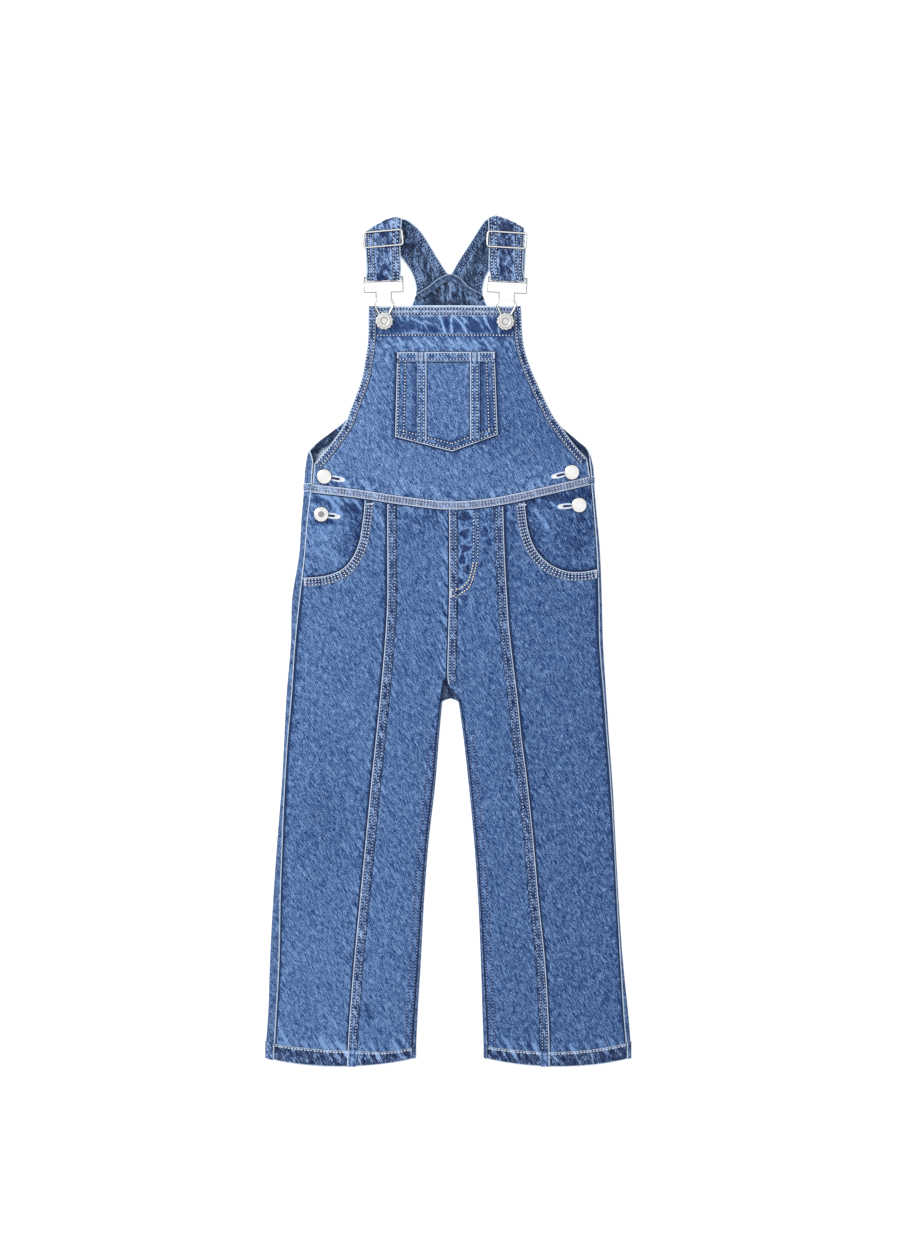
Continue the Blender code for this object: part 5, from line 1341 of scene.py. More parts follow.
def across_strap(row, height=0.0):
    """The outer and the inner end of one row across a strap, at a height."""
    return np.column_stack([np.reshape(row, (2, 2)), [height] * 2])


def unit(from_pair, to_pair):
    step = (to_pair - from_pair)[:, :2]
    return step / np.hypot(step[:, 0], step[:, 1])[:, None]


def roll_rows(edge, before, after, radius, height, sign):
    """Rows of a strap round a fold."""
    rows = []
    for angle in ROLL_STEPS:
        toward = before if angle < 0 else after
        plan = edge + toward * radius * (1 - math.cos(angle))
        rows.append(across_strap(plan, height + sign * radius * math.sin(angle)))
    return rows


def strap_rows(side):
    """Rows across a strap: along the table, over the fold, down the front, round the bar and back behind it."""
    flat = [across_strap(row) for row in STRAP_BACK[side]]
    fronts = [across_strap(row, STRAP_TOP) for row in STRAP_FRONT[side]]
    fold = np.reshape(STRAP_FOLD[side], (2, 2)) + FOLD_RAISE
    ahead = unit(across_strap(fold), flat[-1]), unit(across_strap(fold), fronts[0])
    rows = flat + roll_rows(fold, *ahead, FOLD_RADIUS, FOLD_RADIUS, 1) + fronts
    place = at_plan(*CLIP[side])
    low = CLIP_PLATE_LOW + CLIP_PLATE[1] - CLIP_BAR / 2 - CLIP_TURN
    ends = np.array([(place @ Vector((s * STRAP_WIDTH / 2, low, 0)))[:2] for s in (OUTWARD[side], -OUTWARD[side])])
    upwards = np.array([(place.to_3x3() @ Vector((0, 1, 0)))[:2]] * 2)
    rows += roll_rows(ends, upwards, upwards, CLIP_TURN, CLIP_Z, -1)
    return rows + [across_strap(ends + upwards * RETURN_LENGTH * k, CLIP_Z - CLIP_TURN) for k in (0.5, 1.0)]


def finely(rows, step):
    """More rows between those that are far apart, along smooth curves where the strap lies flat."""
    fine = [rows[0]]
    for a, b in zip(rows, rows[1:]):
        count = max(1, round(norm(b - a, axis=1).max() / step))
        fine += [mix(a, b, k / count) for k in range(1, count + 1)]
    fine = np.array(fine)
    for passes in range(24):  # the first ones round all of it, the rest only what lies flat
        rounder = 0.25 * fine[:-2] + 0.5 * fine[1:-1] + 0.25 * fine[2:]
        lying = turn_in(1 - fine[1:-1, :, 2:] / 2.5) if passes > 2 else 1.0
        fine[1:-1] = mix(fine[1:-1], rounder, lying)
    return fine


for number, (side, out) in enumerate(OUTWARD.items()):
    edges = finely(strap_rows(side), STRAP_STEP)
    share = columns_in(STRAP_WIDTH, 0.8)
    points = mix(edges[:, :1], edges[:, 1:], share[None, :, None])
    CUTS[f"shoulder_strap_{side}"] = cut_of(points)
    along = np.pad(np.cumsum(norm(np.diff(edges.mean(axis=1), axis=0), axis=1)), (1, 0))
    normal = np.cross(np.gradient(points, axis=1), np.gradient(points, axis=0))
    normal /= norm(normal, axis=-1, keepdims=True)
    top = np.unravel_index(points[..., 2].argmax(), points.shape[:2])
    if normal[top][2] < 0:
        normal = -normal
    rng = np.random.default_rng(91 + number)
    count = round(along[-1] / RIB_PERIOD)
    at = (np.arange(count) + 0.5 + rng.uniform(-0.4, 0.4, count)) * along[-1] / count
    off = share * STRAP_WIDTH
    lean = 1.1 * (off - STRAP_WIDTH / 2)
    u = (along[:, None, None] - lean[None, :, None] - at) / (RIB_PERIOD * rng.uniform(0.18, 0.36, count))
    hills = (rng.uniform(0.2, 0.65, count) * bell(u)).sum(axis=-1)
    near = np.minimum(off, STRAP_WIDTH - off)
    hills = hills * turn_in(near / 4)
    points = points + normal * np.maximum(hills - edge_drop(near), -0.5)[..., None]
    peak = along[:, None] - along[edges[:, 1, 1].argmax()]  # the fold's inner end is a soft corner, not a point
    soft = bell(peak / 5.5) * np.clip(1 - (STRAP_WIDTH - off) / 9, 0, 1) ** 2
    points[..., 1] -= 4.2 * soft
    points[..., 1] += 2.2 * (bell(peak / 9.0) * np.sin(math.pi * off / STRAP_WIDTH))
    points[..., 0] += 1.0 * out * soft
    points[..., 2] = np.maximum(points[..., 2], 0.0)
    STRAP_GRID[side] = (points, normal, along, off)
    rub = np.broadcast_to(0.8 * rubbed_white(near, 1.3, 0.9), hills.shape)
    # painted shade along the rows' holes, and a painted shadow where the strap comes out from under the back's lip
    painted_strap_shade = -1.0 * beside_rows(off, STRAP_ROWS, 0.9)[None] - 1.6 * bell(along[:, None] / 2.2)
    tops = hills * 1.3 - 0.36 + 1.05 * beside_rows(off, STRAP_RIBS, 0.9)[None]
    cloth(f"shoulder_strap_{side}", points, STRAP, STRIP, f"strap_{side}", True, worn=rub, ridge=tops, shade=painted_strap_shade,
          crease=1.0)
print("straps cut", [round(v, 3) for v in CUTS["shoulder_strap_left"]])

# %% [markdown]
# ## Metal parts
# The sliders are bent wire, the clips are stamped plates with a wire loop, and the buttons are turned caps. A
# wire is a circle carried along its bent line. A button is a profile spun round its axis, as a lathe would cut
# it, and its soft scallops are pressed in afterwards.

# %% Wires, plates and turned caps
BIB_BUTTON = [  # profiles of the buttons: distance from the axis, and height
    (0, 5.1), (2.9, 5.08), (3.15, 4.8), (3.4, 5.05), (5, 5.2), (5.9, 5.1), (6.2, 4.7), (6.5, 4.72), (7.9, 4.8),
    (8.4, 4.6), (8.6, 4.25), (8.35, 3.85), (8, 3.65), (2.4, 3.3), (2.4, 0.5), (3.6, 0), (0, 0),
]
SIDE_BUTTON = [
    (0, 3.3), (3, 3.27), (5, 3.15), (5.5, 2.95), (5.8, 3.05), (6.3, 3.1), (6.8, 2.95), (7.1, 2.6), (7.15, 2.1),
    (7, 1.7), (6.7, 1.5), (2.2, 1.2), (2.2, 0), (0, 0),
]
CLIP_LOOP = [  # the right half of the clip's wire loop
    (6.6, 21), (8.3, 18.6), (8.7, 15.8), (7.6, 12.4), (5.4, 8.4), (4.1, 4.4), (3.9, 0), (2.8, -2.9), (0, -4.2),
]
CLIP_SLOT, CLIP_NECK = (34.2, 2.7), (15.6, 7.0)  # width and height of each


def finish_metal(name, bm, finish, place, smooth=35, steep=0.82):
    """The faces turned well away from above get a painted dark reflection, for the dim room that polished metal
    mirrors there.
    """
    bmesh.ops.recalc_face_normals(bm, faces=bm.faces)
    for face in bm.faces:
        if abs(face.normal.z) < steep:
            face.material_index = 1
    bmesh.ops.transform(bm, matrix=Matrix.Scale(MM, 4) @ place, verts=bm.verts)
    mesh = mesh_of(name, bm)
    mesh.shade_smooth()
    mesh.set_sharp_from_angle(angle=math.radians(smooth))
    return keep(name, mesh, (finish, DARK_REFLECTION, DIM_REFLECTION))


def wire(bm, path, radius, closed, sides=12):
    """A round wire along a path."""
    path = np.asarray(path, float)
    ahead = np.roll(path, -1, axis=0) - np.roll(path, 1, axis=0) if closed else np.gradient(path, axis=0)
    rings = []
    for place, way in zip(path, ahead):
        way = Vector(way).normalized()
        aside = Vector((0, 0, 1)).cross(way)
        aside = aside.normalized() if aside.length > 0.1 else Vector((0, 1, 0))
        turn = Matrix((aside, way.cross(aside), way)).transposed().to_4x4()
        made = bmesh.ops.create_circle(bm, segments=sides, radius=radius, matrix=Matrix.Translation(place) @ turn)
        rings.append(made["verts"])
    loops = [list({e for v in ring for e in v.link_edges}) for ring in rings]
    for a, b in [*zip(loops, loops[1:])] + ([(loops[-1], loops[0])] if closed else []):
        bmesh.ops.bridge_loops(bm, edges=a + b)
    if not closed:
        for ring in (rings[0], rings[-1]):
            bm.faces.new(ring)


def round_edges(bm, edges, size, segments):
    bmesh.ops.bevel(bm, geom=edges, offset=size, offset_type="OFFSET", affect="EDGES", segments=segments, profile=0.5,
                    material=-1)


for side in SIDES:
    half_x, half_y, corner = SLIDER_SIZE[0] / 2, SLIDER_SIZE[1] / 2, 2.2
    top = STRAP_TOP + GAP + WIRE / 2
    path = []
    for cx, cy, start in ((1, 1, 0), (-1, 1, 90), (-1, -1, 180), (1, -1, 270)):
        for angle in np.radians(np.arange(start, start + 91, 15)):
            path.append((cx * (half_x - corner) + corner * math.cos(angle),
                         cy * (half_y - corner) + corner * math.sin(angle), top))
    bm = bmesh.new()
    wire(bm, path, WIRE / 2, True)
    under = STRAP_TOP - STRAP - 3 * GAP - WIRE / 2
    hook = half_x + 0.4
    bend = [(-hook, 0, top + 0.6), (-hook, 0, under + 1.4), (-hook + 0.4, 0, under + 0.4), (-hook + 1.4, 0, under)]
    wire(bm, bend + [(-px, py, pz) for px, py, pz in reversed(bend)], 0.95, False)
    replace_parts(finish_metal(f"strap_slider_{side}", bm, NICKEL, at_plan(*SLIDER[side])), f"slider_{side}")

    wide, tall, thick = CLIP_PLATE
    foot, head = CLIP_PLATE_LOW, CLIP_PLATE_LOW + tall
    neck, slot_top = CLIP_NECK[0] / 2, head - CLIP_BAR
    xs = [-wide / 2, -CLIP_SLOT[0] / 2, -neck, neck, CLIP_SLOT[0] / 2, wide / 2]
    ys = [foot - CLIP_NECK[1], foot, slot_top - CLIP_SLOT[1], slot_top, head]
    bm = bmesh.new()
    spots = {(i, j): bm.verts.new((px, py, CLIP_Z - thick / 2)) for i, px in enumerate(xs) for j, py in enumerate(ys)
             if j > 0 or abs(px) <= neck}
    for i in range(5):
        for j in range(4):
            if not ((j == 0 and i != 2) or (j == 2 and 1 <= i <= 3)):  # beside the neck, and the slot
                bm.faces.new([spots[i, j], spots[i + 1, j], spots[i + 1, j + 1], spots[i, j + 1]])
    raised = bmesh.ops.extrude_face_region(bm, geom=bm.faces[:])["geom"]
    bmesh.ops.translate(bm, verts=[v for v in raised if isinstance(v, bmesh.types.BMVert)], vec=(0, 0, thick))
    bmesh.ops.recalc_face_normals(bm, faces=bm.faces)
    round_edges(bm, [e for e in bm.edges if abs(e.verts[0].co.z - e.verts[1].co.z) > 0.5 * thick
                     and abs(abs(e.verts[0].co.x) - wide / 2) < 0.01
                     and not foot + 0.01 < e.verts[0].co.y < head - 0.01], 1.3, 4)
    round_edges(bm, [e for e in bm.edges if len(e.link_faces) == 2 and e.calc_face_angle(0) > 1.2
                     and abs(e.verts[0].co.z - e.verts[1].co.z) < 0.01], 0.3, 2)
    faces_up = [f for f in bm.faces if f.normal.z > 0.98]
    inset_rim = bmesh.ops.inset_region(bm, faces=faces_up, thickness=0.65, use_even_offset=True, use_boundary=True)
    # the inset's ring takes the painted dark reflection, as an outline round the plate's top
    for face in inset_rim["faces"]:
        face.material_index = int(face.calc_center_median().y > foot - CLIP_NECK[1] + 0.8)
    right = line(CLIP_LOOP)(np.linspace(0, 1, 30))
    loop = np.concatenate([right, (right * (-1, 1))[::-1][1:]])
    wire(bm, np.column_stack([loop, np.full(len(loop), CLIP_Z)]), WIRE / 2, False)
    made = finish_metal(f"strap_clip_{side}", bm, NICKEL, at_plan(*CLIP[side]), steep=0.8)
    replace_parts(made, f"clip_{side}")

RIM_SHARE = 0.75  # scallops are pressed into the outer quarter of a cap
RIM_PRESS = 0.06


def cap(name, profile, place, finish, stands_for, scallops=0, depth=0.0, hollow=0.0, steep=0.72):
    """A button spun from its profile, with scallops pressed into its rim. A hollow middle gets a painted dim
    reflection.
    """
    bm = bmesh.new()
    verts = [bm.verts.new((r, 0, z)) for r, z in profile]
    edges = [bm.edges.new(two) for two in zip(verts, verts[1:])]
    bmesh.ops.spin(bm, geom=verts + edges, axis=(0, 0, 1), cent=(0, 0, 0), angle=2 * math.pi, steps=60, use_merge=True)
    bmesh.ops.remove_doubles(bm, verts=bm.verts, dist=0.001)
    rim = max(r for r, _ in profile)
    for vert in bm.verts:
        r = math.hypot(vert.co.x, vert.co.y)
        if scallops and r > RIM_SHARE * rim:
            wave = 0.5 - 0.5 * math.cos(scallops * math.atan2(vert.co.y, vert.co.x))
            share = (r / rim - RIM_SHARE) / (1 - RIM_SHARE)
            vert.co.x *= 1 - RIM_PRESS * share * wave
            vert.co.y *= 1 - RIM_PRESS * share * wave
            vert.co.z -= depth * share * wave
    for face in bm.faces:
        middle = face.calc_center_median()
        # painted dim reflection in the hollow middle
        if middle.z > 2 and math.hypot(middle.x, middle.y) < hollow:
            face.material_index = 2
    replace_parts(finish_metal(name, bm, finish, place, 40, steep), stands_for)


for side in SIDES:
    x, y, turn = CLIP[side]
    cap(f"bib_stud_{side}", BIB_BUTTON, at_plan(x, y, turn + 9, front(x, y) + GAP), BRUSHED, f"bib_button_{side}", 12,
        0.35, steep=0.86)
for name, (x, y, lean) in SIDE_BUTTONS.items():
    lift = 2.2 * math.sin(math.radians(abs(lean)))
    place = Matrix.Translation((x, y, front(x, y) + GAP + lift)) @ Matrix.Rotation(math.radians(lean), 4, "Y")
    cap(f"side_stud_{name}", SIDE_BUTTON, place, CAP, f"side_button_{name}", hollow=3.0 if name == "lower_left" else 0)

# %% [markdown]
# ## Turned edges, shadow lines and the waist at the sides
# The top of the back is turned under in a shallow V and sewn over the ends of the straps. The waist seam goes on
# round both sides. Where a free edge lies on other cloth, a thin line of painted shadow follows it: the gap below a
# real edge is narrower than the pieces here can be set, and without the line the edge looks printed on.

# %% Lip of the back, waist at the sides
LIP_WIDTH, LIP_START = 6.5, 1.2
LIP_ROW = (2.4,)
LIP = line([(TOP_LEFT + 0.4, TOP_Y + 0.3), (-23.1, 334.8), (-17.4, 338.4), (-10.7, 344), (-4, 347.9),
            (BODICE_PEAK[0], 349.4), (7.4, 347.9), (13.1, 343.5), (18.8, 337.6), (25.5, 333.8),
            (TOP_RIGHT - 0.4, TOP_Y + 0.3)])
plan, off = strip_plan(LIP, LIP_WIDTH, -1, LIP_START)
z = DENIM + GAP + STRAP + 0.5 - edge_drop(off, LIP_WIDTH - off) - 0.12 * beside_rows(off, LIP_ROW)
cloth("back_lip", np.dstack([plan, z]), TAPE, INSIDE, worn=0.55 * rubbed_white(off, 1.2, 0.8),
      shade=-0.5 * beside_rows(off, LIP_ROW))

for side in SIDES:
    section = back_section(side, WAIST_BACK_Y - 6, 0.3)[:14]
    x, share = np.meshgrid(section[:, 0], columns_in(WAIST_WIDTH, 0.7))
    y = waist_back(x) + (share - 0.5) * WAIST_WIDTH
    off = share * WAIST_WIDTH
    cloth(f"waist_band_{side}", np.dstack([x, y, np.broadcast_to(section[:, 1], x.shape) + 0.4]), TAPE, FADED,
          face_down=True, shade=-0.8 * beside_rows(off, WAIST_ROWS),
          worn=np.clip(1.3 - np.minimum(off, WAIST_WIDTH - off) / 0.8, 0.1, 1))

# %% Shadow lines
for side, out in OUTWARD.items():
    painted_shadow_line(f"leg_fell_shadow_{side}", LEG_SEAM[side], -0.85 * out, 0.12, 1.2)
    painted_shadow_line(f"leg_fell_far_{side}", LEG_SEAM[side], (FELL_WIDTH + 0.4) * out, 0.1, 0.7)
    painted_shadow_line(f"pocket_mouth_shadow_{side}", MOUTH[side], 0.9 * out, 0.1 - FACING_DROP * 0.75, 1.6, (0.0, 4.0))
    painted_shadow_line(f"armhole_shadow_{side}", ARMHOLE[side], (BINDING_WIDTH + 0.4) * out, 0.1, 0.8)
for name, *run in (
    ("fly_shadow", FLY, -0.9, 0.12, 1.2),
    ("fly_far_shadow", FLY, FLY_WIDTH + 0.5, 0.1, 0.8),
    ("waist_shadow", WAIST_SEAM, -0.6, 0.1, 1.3),
    ("waist_top_shadow", WAIST_SEAM, WAIST_WIDTH + 0.4, 0.1, 0.6),
    ("bib_pocket_left_shadow", POCKET_LEFT, 0.7, 0.1, 1.4),
    ("bib_pocket_right_shadow", POCKET_RIGHT, -0.6, 0.1, 1.2),
    ("bib_pocket_low_left_shadow", POCKET_LOW_LEFT, -0.8, 0.1, 1.6),
    ("bib_pocket_low_right_shadow", POCKET_LOW_RIGHT, -0.8, 0.1, 1.6),
    ("bib_pocket_top_shadow", POCKET_HEAD, 0.6, 0.1, 1.0),
    ("bib_pocket_hem_shadow", POCKET_HEM_LINE, -0.6, POCKET_ABOVE + 0.1, 1.1),
):
    painted_shadow_line(name, *run)
for side in SIDES:
    painted_shadow_line(f"bib_pocket_strip_shadow_{side}", POCKET_LINE[side], 0.6, POCKET_ABOVE + 0.1, 1.0)
    painted_shadow_line(f"bib_pocket_strip_far_shadow_{side}", POCKET_LINE[side], -POCKET_STRIP - 0.6, POCKET_ABOVE + 0.1, 1.0)

# %% [markdown]
# ## Stitches
# Each stitch is one short length of thread that dips into the cloth at both ends. One small rounded shape is
# repeated along every row, set on the cloth's own height and slope, and all the stitches of an area become one
# mesh. That is thousands of stitches for the price of a few dozen faces each.

# %% Sew rows of stitches
bm = bmesh.new()
bmesh.ops.create_uvsphere(bm, u_segments=6, v_segments=4, radius=0.5)
bm.verts.ensure_lookup_table()
STITCH = np.array([(v.co.z, v.co.x, v.co.y) for v in bm.verts])  # its long way along X
STITCH_FACES = [[v.index for v in face.verts] for face in bm.faces]
bm.free()
PITCH, STITCH_LONG, STITCH_WIDE, STITCH_RAISE = 2.95, 1.6, 1.2, 0.06
UP = (0.0, 0.0, 1.0)


def sew(name, starts, ends, normals, finish, width=STITCH_WIDE, seed=5):
    """A mesh of stitches, each between two points."""
    rng = np.random.default_rng(seed)
    middle, along = (starts + ends) / 2, ends - starts
    length = norm(along, axis=1, keepdims=True)
    x_way = along / length
    y_way = np.cross(normals, x_way)
    y_way /= norm(y_way, axis=1, keepdims=True)
    z_way = np.cross(x_way, y_way)
    x_way = x_way + y_way * rng.normal(0, 0.07, (len(length), 1))
    long, wide = length * rng.uniform(0.88, 1.04, length.shape), width * rng.uniform(0.85, 1.15, length.shape)
    size = np.concatenate([long, wide, np.full(length.shape, width * 0.8)], axis=1)
    scaled = STITCH[None] * size[:, None, :]
    verts = middle[:, None] + scaled[..., :1] * x_way[:, None] + scaled[..., 1:2] * y_way[:, None]
    verts = (verts + scaled[..., 2:] * z_way[:, None]).reshape(-1, 3) * MM
    faces = [[i + k * len(STITCH) for i in face] for k in range(len(length)) for face in STITCH_FACES]
    mesh = bpy.data.meshes.new(name)
    mesh.from_pydata([tuple(v) for v in verts], [], faces)
    mesh.shade_smooth()
    keep(name, mesh, (finish,))


def row(guide, offset, above, pitch, long, trim=1.5):
    """Both ends of each stitch in a row beside a line, on the front's own height."""
    length = guide.length - trim - trim
    count = max(1, int(length / pitch))
    at = trim + (np.arange(count) + 0.5) * length / count
    shares = (np.clip((at + half) / guide.length, 0, 1) for half in (-long / 2, long / 2))
    return [lie(beside(guide, share, offset), above)[0] for share in shares]


def sew_rows(name, rows, finish, width=STITCH_WIDE, pitch=PITCH, long=STITCH_LONG):
    """Rows of stitches. On a bare panel each lies on a dark ribbon: painted shade of the cloth the stitches pull down,
    and blue that washing leaves there.
    """
    bare = [(guide, off, above - 0.04, (1.0, 1.0)) for guide, off, above in rows if above in (ON_PANEL, ON_POCKET)]
    if bare:
        ribbons(f"{name}_row_shades", bare, width * 1.5, ROW_SHADE)
    starts, ends = (np.concatenate(side) for side in zip(*(row(*one, pitch, long) for one in rows)))
    sew(name, starts, ends, np.broadcast_to(UP, starts.shape), finish, width, len(name))


def sew_beside(name, guide, offsets, above, *more):
    """Rows of stitches beside one line."""
    sew_rows(name, [(guide, offset, above) for offset in offsets], *more)


ON_PANEL, ON_STRIP, ON_POCKET, ON_POCKET_STRIP = (
    step + STITCH_RAISE for step in (0.0, STRIP_STEP, POCKET_ABOVE, POCKET_STEP)
)
for side, out in OUTWARD.items():
    inseam = line(LEG_INNER[side](np.linspace(0, 0.58, 30)))
    sew_beside(f"leg_seam_stitches_{side}", LEG_SEAM[side], np.multiply(FELL_ROWS, out), ON_STRIP, BLUE_THREAD)
    sew_beside(f"inseam_stitches_{side}", inseam, (-2.0 * out, -6.6 * out), ON_PANEL, FAINT_THREAD, 0.95)
    sew_beside(f"pocket_mouth_stitches_{side}", MOUTH[side], np.multiply(MOUTH_ROWS, -out), ON_STRIP, PALE_THREAD, 1.3)
    sew_beside(f"armhole_stitches_{side}", ARMHOLE[side], np.multiply(ARMHOLE_ROWS, out), ON_STRIP, PALE_THREAD)
    hem = hem_line(*HEM_ENDS[side], 0)
    hem_rows = []
    count = int(hem.length / 3.0)
    at = (np.arange(count) + 0.5) / count
    for half in (-1.15, 1.15):
        plan = beside(hem, np.clip(at + half / hem.length, 0, 1), 1.9 * out)
        z = front(plan[:, 0], HEM_SECTION_Y) + HEM_LIFT + STITCH_RAISE
        z += relief(plan[:, 0], plan[:, 1])[0]
        hem_rows.append(np.column_stack([plan, z]))
    sew(f"leg_hem_stitches_{side}", *hem_rows, np.broadcast_to(UP, (count, 3)), PALE_THREAD)
sew_beside("fly_stitches", FLY, FLY_ROWS, ON_STRIP, BLUE_THREAD)
J_ROWS = [  # the two curved rows of the mock fly, from the waist down
    [(24.1, 124.6), (24.1, 98), (23.8, 77.6), (23.3, 71.9), (19.4, 58.6), (11.6, 50.4), (2.8, 48.5)],
    [(28.3, 124.9), (28.3, 98), (27.9, 77.6), (21.3, 54.3), (14.5, 47.5), (8.6, 43.6), (3.3, 43.1)],
]
sew_rows("fly_curve_stitches", [(line(points[:3]), 0.0, ON_PANEL) for points in J_ROWS], PALE_THREAD)
ends = [(points[-2], (points[-1][0] - 2.0, points[-1][1])) for points in J_ROWS]
bends = [(line(points[2:]), 0.0, ON_PANEL) for points in J_ROWS] + [(line(run), 0.0, ON_STRIP) for run in ends]
sew_rows("fly_bend_stitches", bends, CREAM_THREAD, 1.35, 2.7, 2.5)
sew_beside("waist_stitches", WAIST_SEAM, WAIST_ROWS, ON_STRIP, DARK_THREAD)
sew_rows("bib_top_stitches", [
    (line([(left, y), (-3, middle), (right, y)]), 0.0, ON_PANEL)
    for left, right, y, middle in ((-74, 67, 316.5, 317.0), (-74, 67, 312.0, 312.4), (-70, 64, 291.6, 292.0))
], PALE_THREAD, 1.3)
pocket_rows = [(POCKET_HEM_LINE, off, ON_POCKET_STRIP) for off in POCKET_HEM_ROWS]
pocket_rows += [(POCKET_LINE[side], -off, ON_POCKET_STRIP) for side in SIDES for off in POCKET_ROWS]
for low, aside in ((2.0, 2.0), (7.0, 8.0)):
    pocket_rows += [(POCKET_LOW_LEFT, low, ON_POCKET), (POCKET_LOW_RIGHT, low, ON_POCKET),
                    (POCKET_LEFT, -aside, ON_POCKET), (POCKET_RIGHT, aside, ON_POCKET)]
sew_rows("chest_pocket_stitches", pocket_rows, PALE_THREAD, 1.35)


def strap_spot(side, along, off):
    """Places and normals on a strap, this far along it and across it."""
    points, normal, length, across = STRAP_GRID[side]
    i = np.clip(np.searchsorted(length, along) - 1, 0, len(length) - 2)
    j = int(np.clip(np.searchsorted(across, off) - 1, 0, len(across) - 2))
    u = ((along - length[i]) / (length[i + 1] - length[i]))[:, None]
    v = (off - across[j]) / (across[j + 1] - across[j])
    return [mix(mix(grid[i, j], grid[i + 1, j], u), mix(grid[i, j + 1], grid[i + 1, j + 1], u), v)
            for grid in (points, normal)]


def sew_strap(name, side, start, end, inside, finish, width=STITCH_WIDE):
    """Rows along a strap, on its face or through on its inside."""
    ends, normals = ([], []), []
    for off in STRAP_ROWS:
        for half, ends_of in zip((-STITCH_LONG / 2, STITCH_LONG / 2), ends):
            place, normal = strap_spot(side, np.arange(start, end, PITCH) + half, off)
            place = place + normal * (-(STRAP + STITCH_RAISE) if inside else STITCH_RAISE)
            if not inside:
                place[:, 2] = np.maximum(place[:, 2], 0.36)  # pressed in where the strap lies on the table
            ends_of.append(place)
        normals.append(-normal if inside else normal)
    sew(f"{name}_{side}", *map(np.concatenate, (*ends, normals)), finish, width)


for side in SIDES:
    sew_strap("strap_stitches", side, 14, STRAP_GRID[side][2][-1] - 6, False, PALE_THREAD)
    sew_strap("strap_inside_stitches", side, 2, 62, True, FAINT_THREAD, 1.1)

# %% Bartacks
BARTACKS = [  # middle, direction in degrees, length, width
    (2.6, 46, 88, 7.5, 2.2), (-74.5, 131, 5, 7, 2), (70.5, 130.5, -5, 7, 2),
    (-48, 272.5, 90, 6, 1.8), (43.5, 272.5, 90, 6, 1.8),
]
for side, out in OUTWARD.items():
    BARTACKS.append((*beside(MOUTH[side], 0.985, -out * POCKET_EDGE_WIDTH / 2), 90, 6.5, 1.8))
starts, ends = [], []
for x, y, degrees, long, wide in BARTACKS:
    way = np.array([math.cos(math.radians(degrees)), math.sin(math.radians(degrees))])
    aside = np.array([-way[1], way[0]]) * wide / 2
    at = np.arange(-long / 2, long / 2, 0.62)[:, None]
    above = ON_POCKET_STRIP if 200 < y < 290 else ON_STRIP
    starts.append(lie(np.array([x, y]) + way * at - aside, above)[0])
    ends.append(lie(np.array([x, y]) + way * (at + 0.3) + aside, above)[0])
starts, ends = np.concatenate(starts), np.concatenate(ends)
sew("bartacks", starts, ends, np.broadcast_to(UP, starts.shape), TAN_THREAD, 0.6)

# %% [markdown]
# ## Buttonholes
# A buttonhole is a slit with thread wound all round its edge, so it is a cord bent into a narrow drop, with a
# dark slit inside that is a painted shadow line. They point inwards from the side buttons.

# %% Buttonholes
BUTTONHOLE_TIPS = {
    "upper_left": (-99, 153.6), "lower_left": (-103.5, 118.6), "upper_right": (99, 156.6),
    "lower_right": (105, 128.2),
}
DROP = [  # half of the drop: how far behind its tip, and how far aside
    (0, 0.9), (-2.4, 1.55), (-6, 1.9), (-10, 1.8), (-13, 1.4),
]
for name, tip in BUTTONHOLE_TIPS.items():
    x, y, _ = SIDE_BUTTONS[name]
    way = math.atan2(tip[1] - y, tip[0] - x)
    heading = np.array([math.cos(way), math.sin(way)])
    aside = np.array([-heading[1], heading[0]])
    upper = line([(0.2, 0.0)] + DROP)(np.linspace(0.04, 1, 14))
    drop = np.concatenate([[(0.2, 0.0)], upper, (upper * (1, -1))[::-1]])
    placed, _ = lie(tip + drop[:, :1] * heading + drop[:, 1:] * aside, 0.35)
    bm = bmesh.new()
    wire(bm, placed, 0.85, True, 8)
    bmesh.ops.recalc_face_normals(bm, faces=bm.faces)
    bmesh.ops.scale(bm, vec=(MM, MM, MM), verts=bm.verts)
    mesh = mesh_of(f"buttonhole_{name}", bm)
    mesh.shade_smooth()
    keep(f"buttonhole_{name}", mesh, (PALE_THREAD,))
    painted_shadow_line(f"buttonhole_slit_shadow_{name}", line([tip - 4.2 * heading, tip - 13.0 * heading]), 0.0, 0.5, 1.9)
    at = tip - heading * np.arange(0.2, 4.6, 0.65)[:, None]
    starts, ends = (lie(at + way * 1.7 * aside, 0.5)[0] for way in (-1, 1))
    sew(f"buttonhole_bar_{name}", starts, ends, np.broadcast_to(UP, starts.shape), CREAM_THREAD, 0.85)

# %% [markdown]
# ## The cuts of the cloth
# Each main cloth piece's cut is looked up: its width and length, and its area, held to no more than their product.

# %% Look up the cuts
def state_cloth(name):
    width, length, area = CUTS[name]
    area = min(area, width * length)


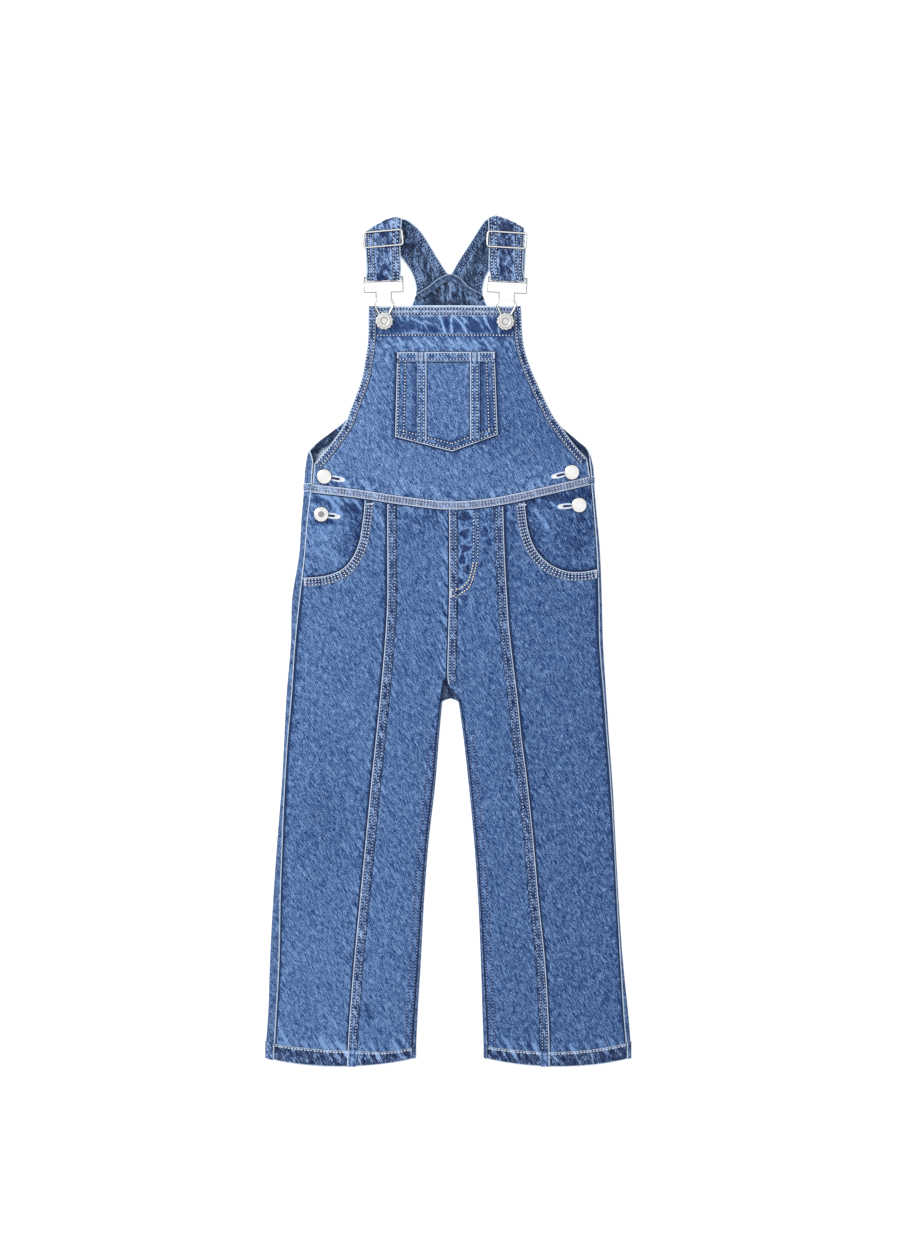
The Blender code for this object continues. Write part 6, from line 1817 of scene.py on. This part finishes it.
for side in SIDES:
    back, inseam = f"back_leg_cloth_{side}", f"inseam_stitches_{side}"
    state_cloth(back)
    state_cloth(f"inner_leg_panel_{side}")
    state_cloth(f"outer_leg_panel_{side}")
    state_cloth(f"hip_pocket_facing_{side}")
    state_cloth(f"leg_hem_back_{side}")
    state_cloth(f"leg_hem_front_{side}")
    state_cloth(f"shoulder_strap_{side}")
state_cloth("back_cloth")
state_cloth("bib_cloth")
state_cloth("chest_pocket")

# %% [markdown]
# ## Table, light and camera
# The garment lies on a plain white table under a large soft light, with the camera straight above. The view
# transform is the plain one, so that the cloth's colours come out as they were set.

# %% Stage
FRAME_HIGH = 1199.1
CENTRE = (1.67, 11.43)
TABLE_SIZE, TABLE_BELOW = 3.0, 0.0002
LENS_LONG, SENSOR_HIGH = 100.0, 36.0
FOCUS_ABOVE = 0.008  # the frame's size is right at this height, in the middle of the front
bm = bmesh.new()
bmesh.ops.create_grid(bm, x_segments=1, y_segments=1, size=TABLE_SIZE)
floor = keep("table top", mesh_of("table top", bm), (FLOOR,), ride=False)
floor.location.z = -TABLE_BELOW

world = bpy.data.worlds.new("studio")
world.use_nodes = True
sky = world.node_tree
up = node(sky, "SeparateXYZ", {0: node(sky, "TexCoord", {}, "Generated")}, "Z")
bright = node(sky, "MapRange", {"Value": up, "To Min": 0.30, "To Max": 1.12})
feed(sky, sky.nodes["Background"], {"Strength": bright, "Color": FULL})
bpy.context.scene.world = world

KEY_PLACE = Vector((-1.3, 1.1, 1.5))
lamp = bpy.data.lights.new("key", "AREA")
lamp.energy = 20.0
lamp.shape = "RECTANGLE"
lamp.size, lamp.size_y = 1.2, 1.0
key = in_scene("key", lamp)
key.location = KEY_PLACE
key.rotation_euler = (-KEY_PLACE).to_track_quat("-Z", "Y").to_euler()

lens = bpy.data.cameras.new("camera")
lens.sensor_fit = "VERTICAL"
lens.sensor_height = SENSOR_HIGH
lens.lens = LENS_LONG
camera = in_scene("camera", lens)
camera.location = (CENTRE[0] * MM, CENTRE[1] * MM, FRAME_HIGH * MM * LENS_LONG / SENSOR_HIGH + FOCUS_ABOVE)
bpy.context.scene.camera = camera
bpy.context.scene.view_settings.view_transform = "Standard"
bpy.context.scene.cycles.use_denoising = False  # the denoiser would smooth the rows of stitches into lines
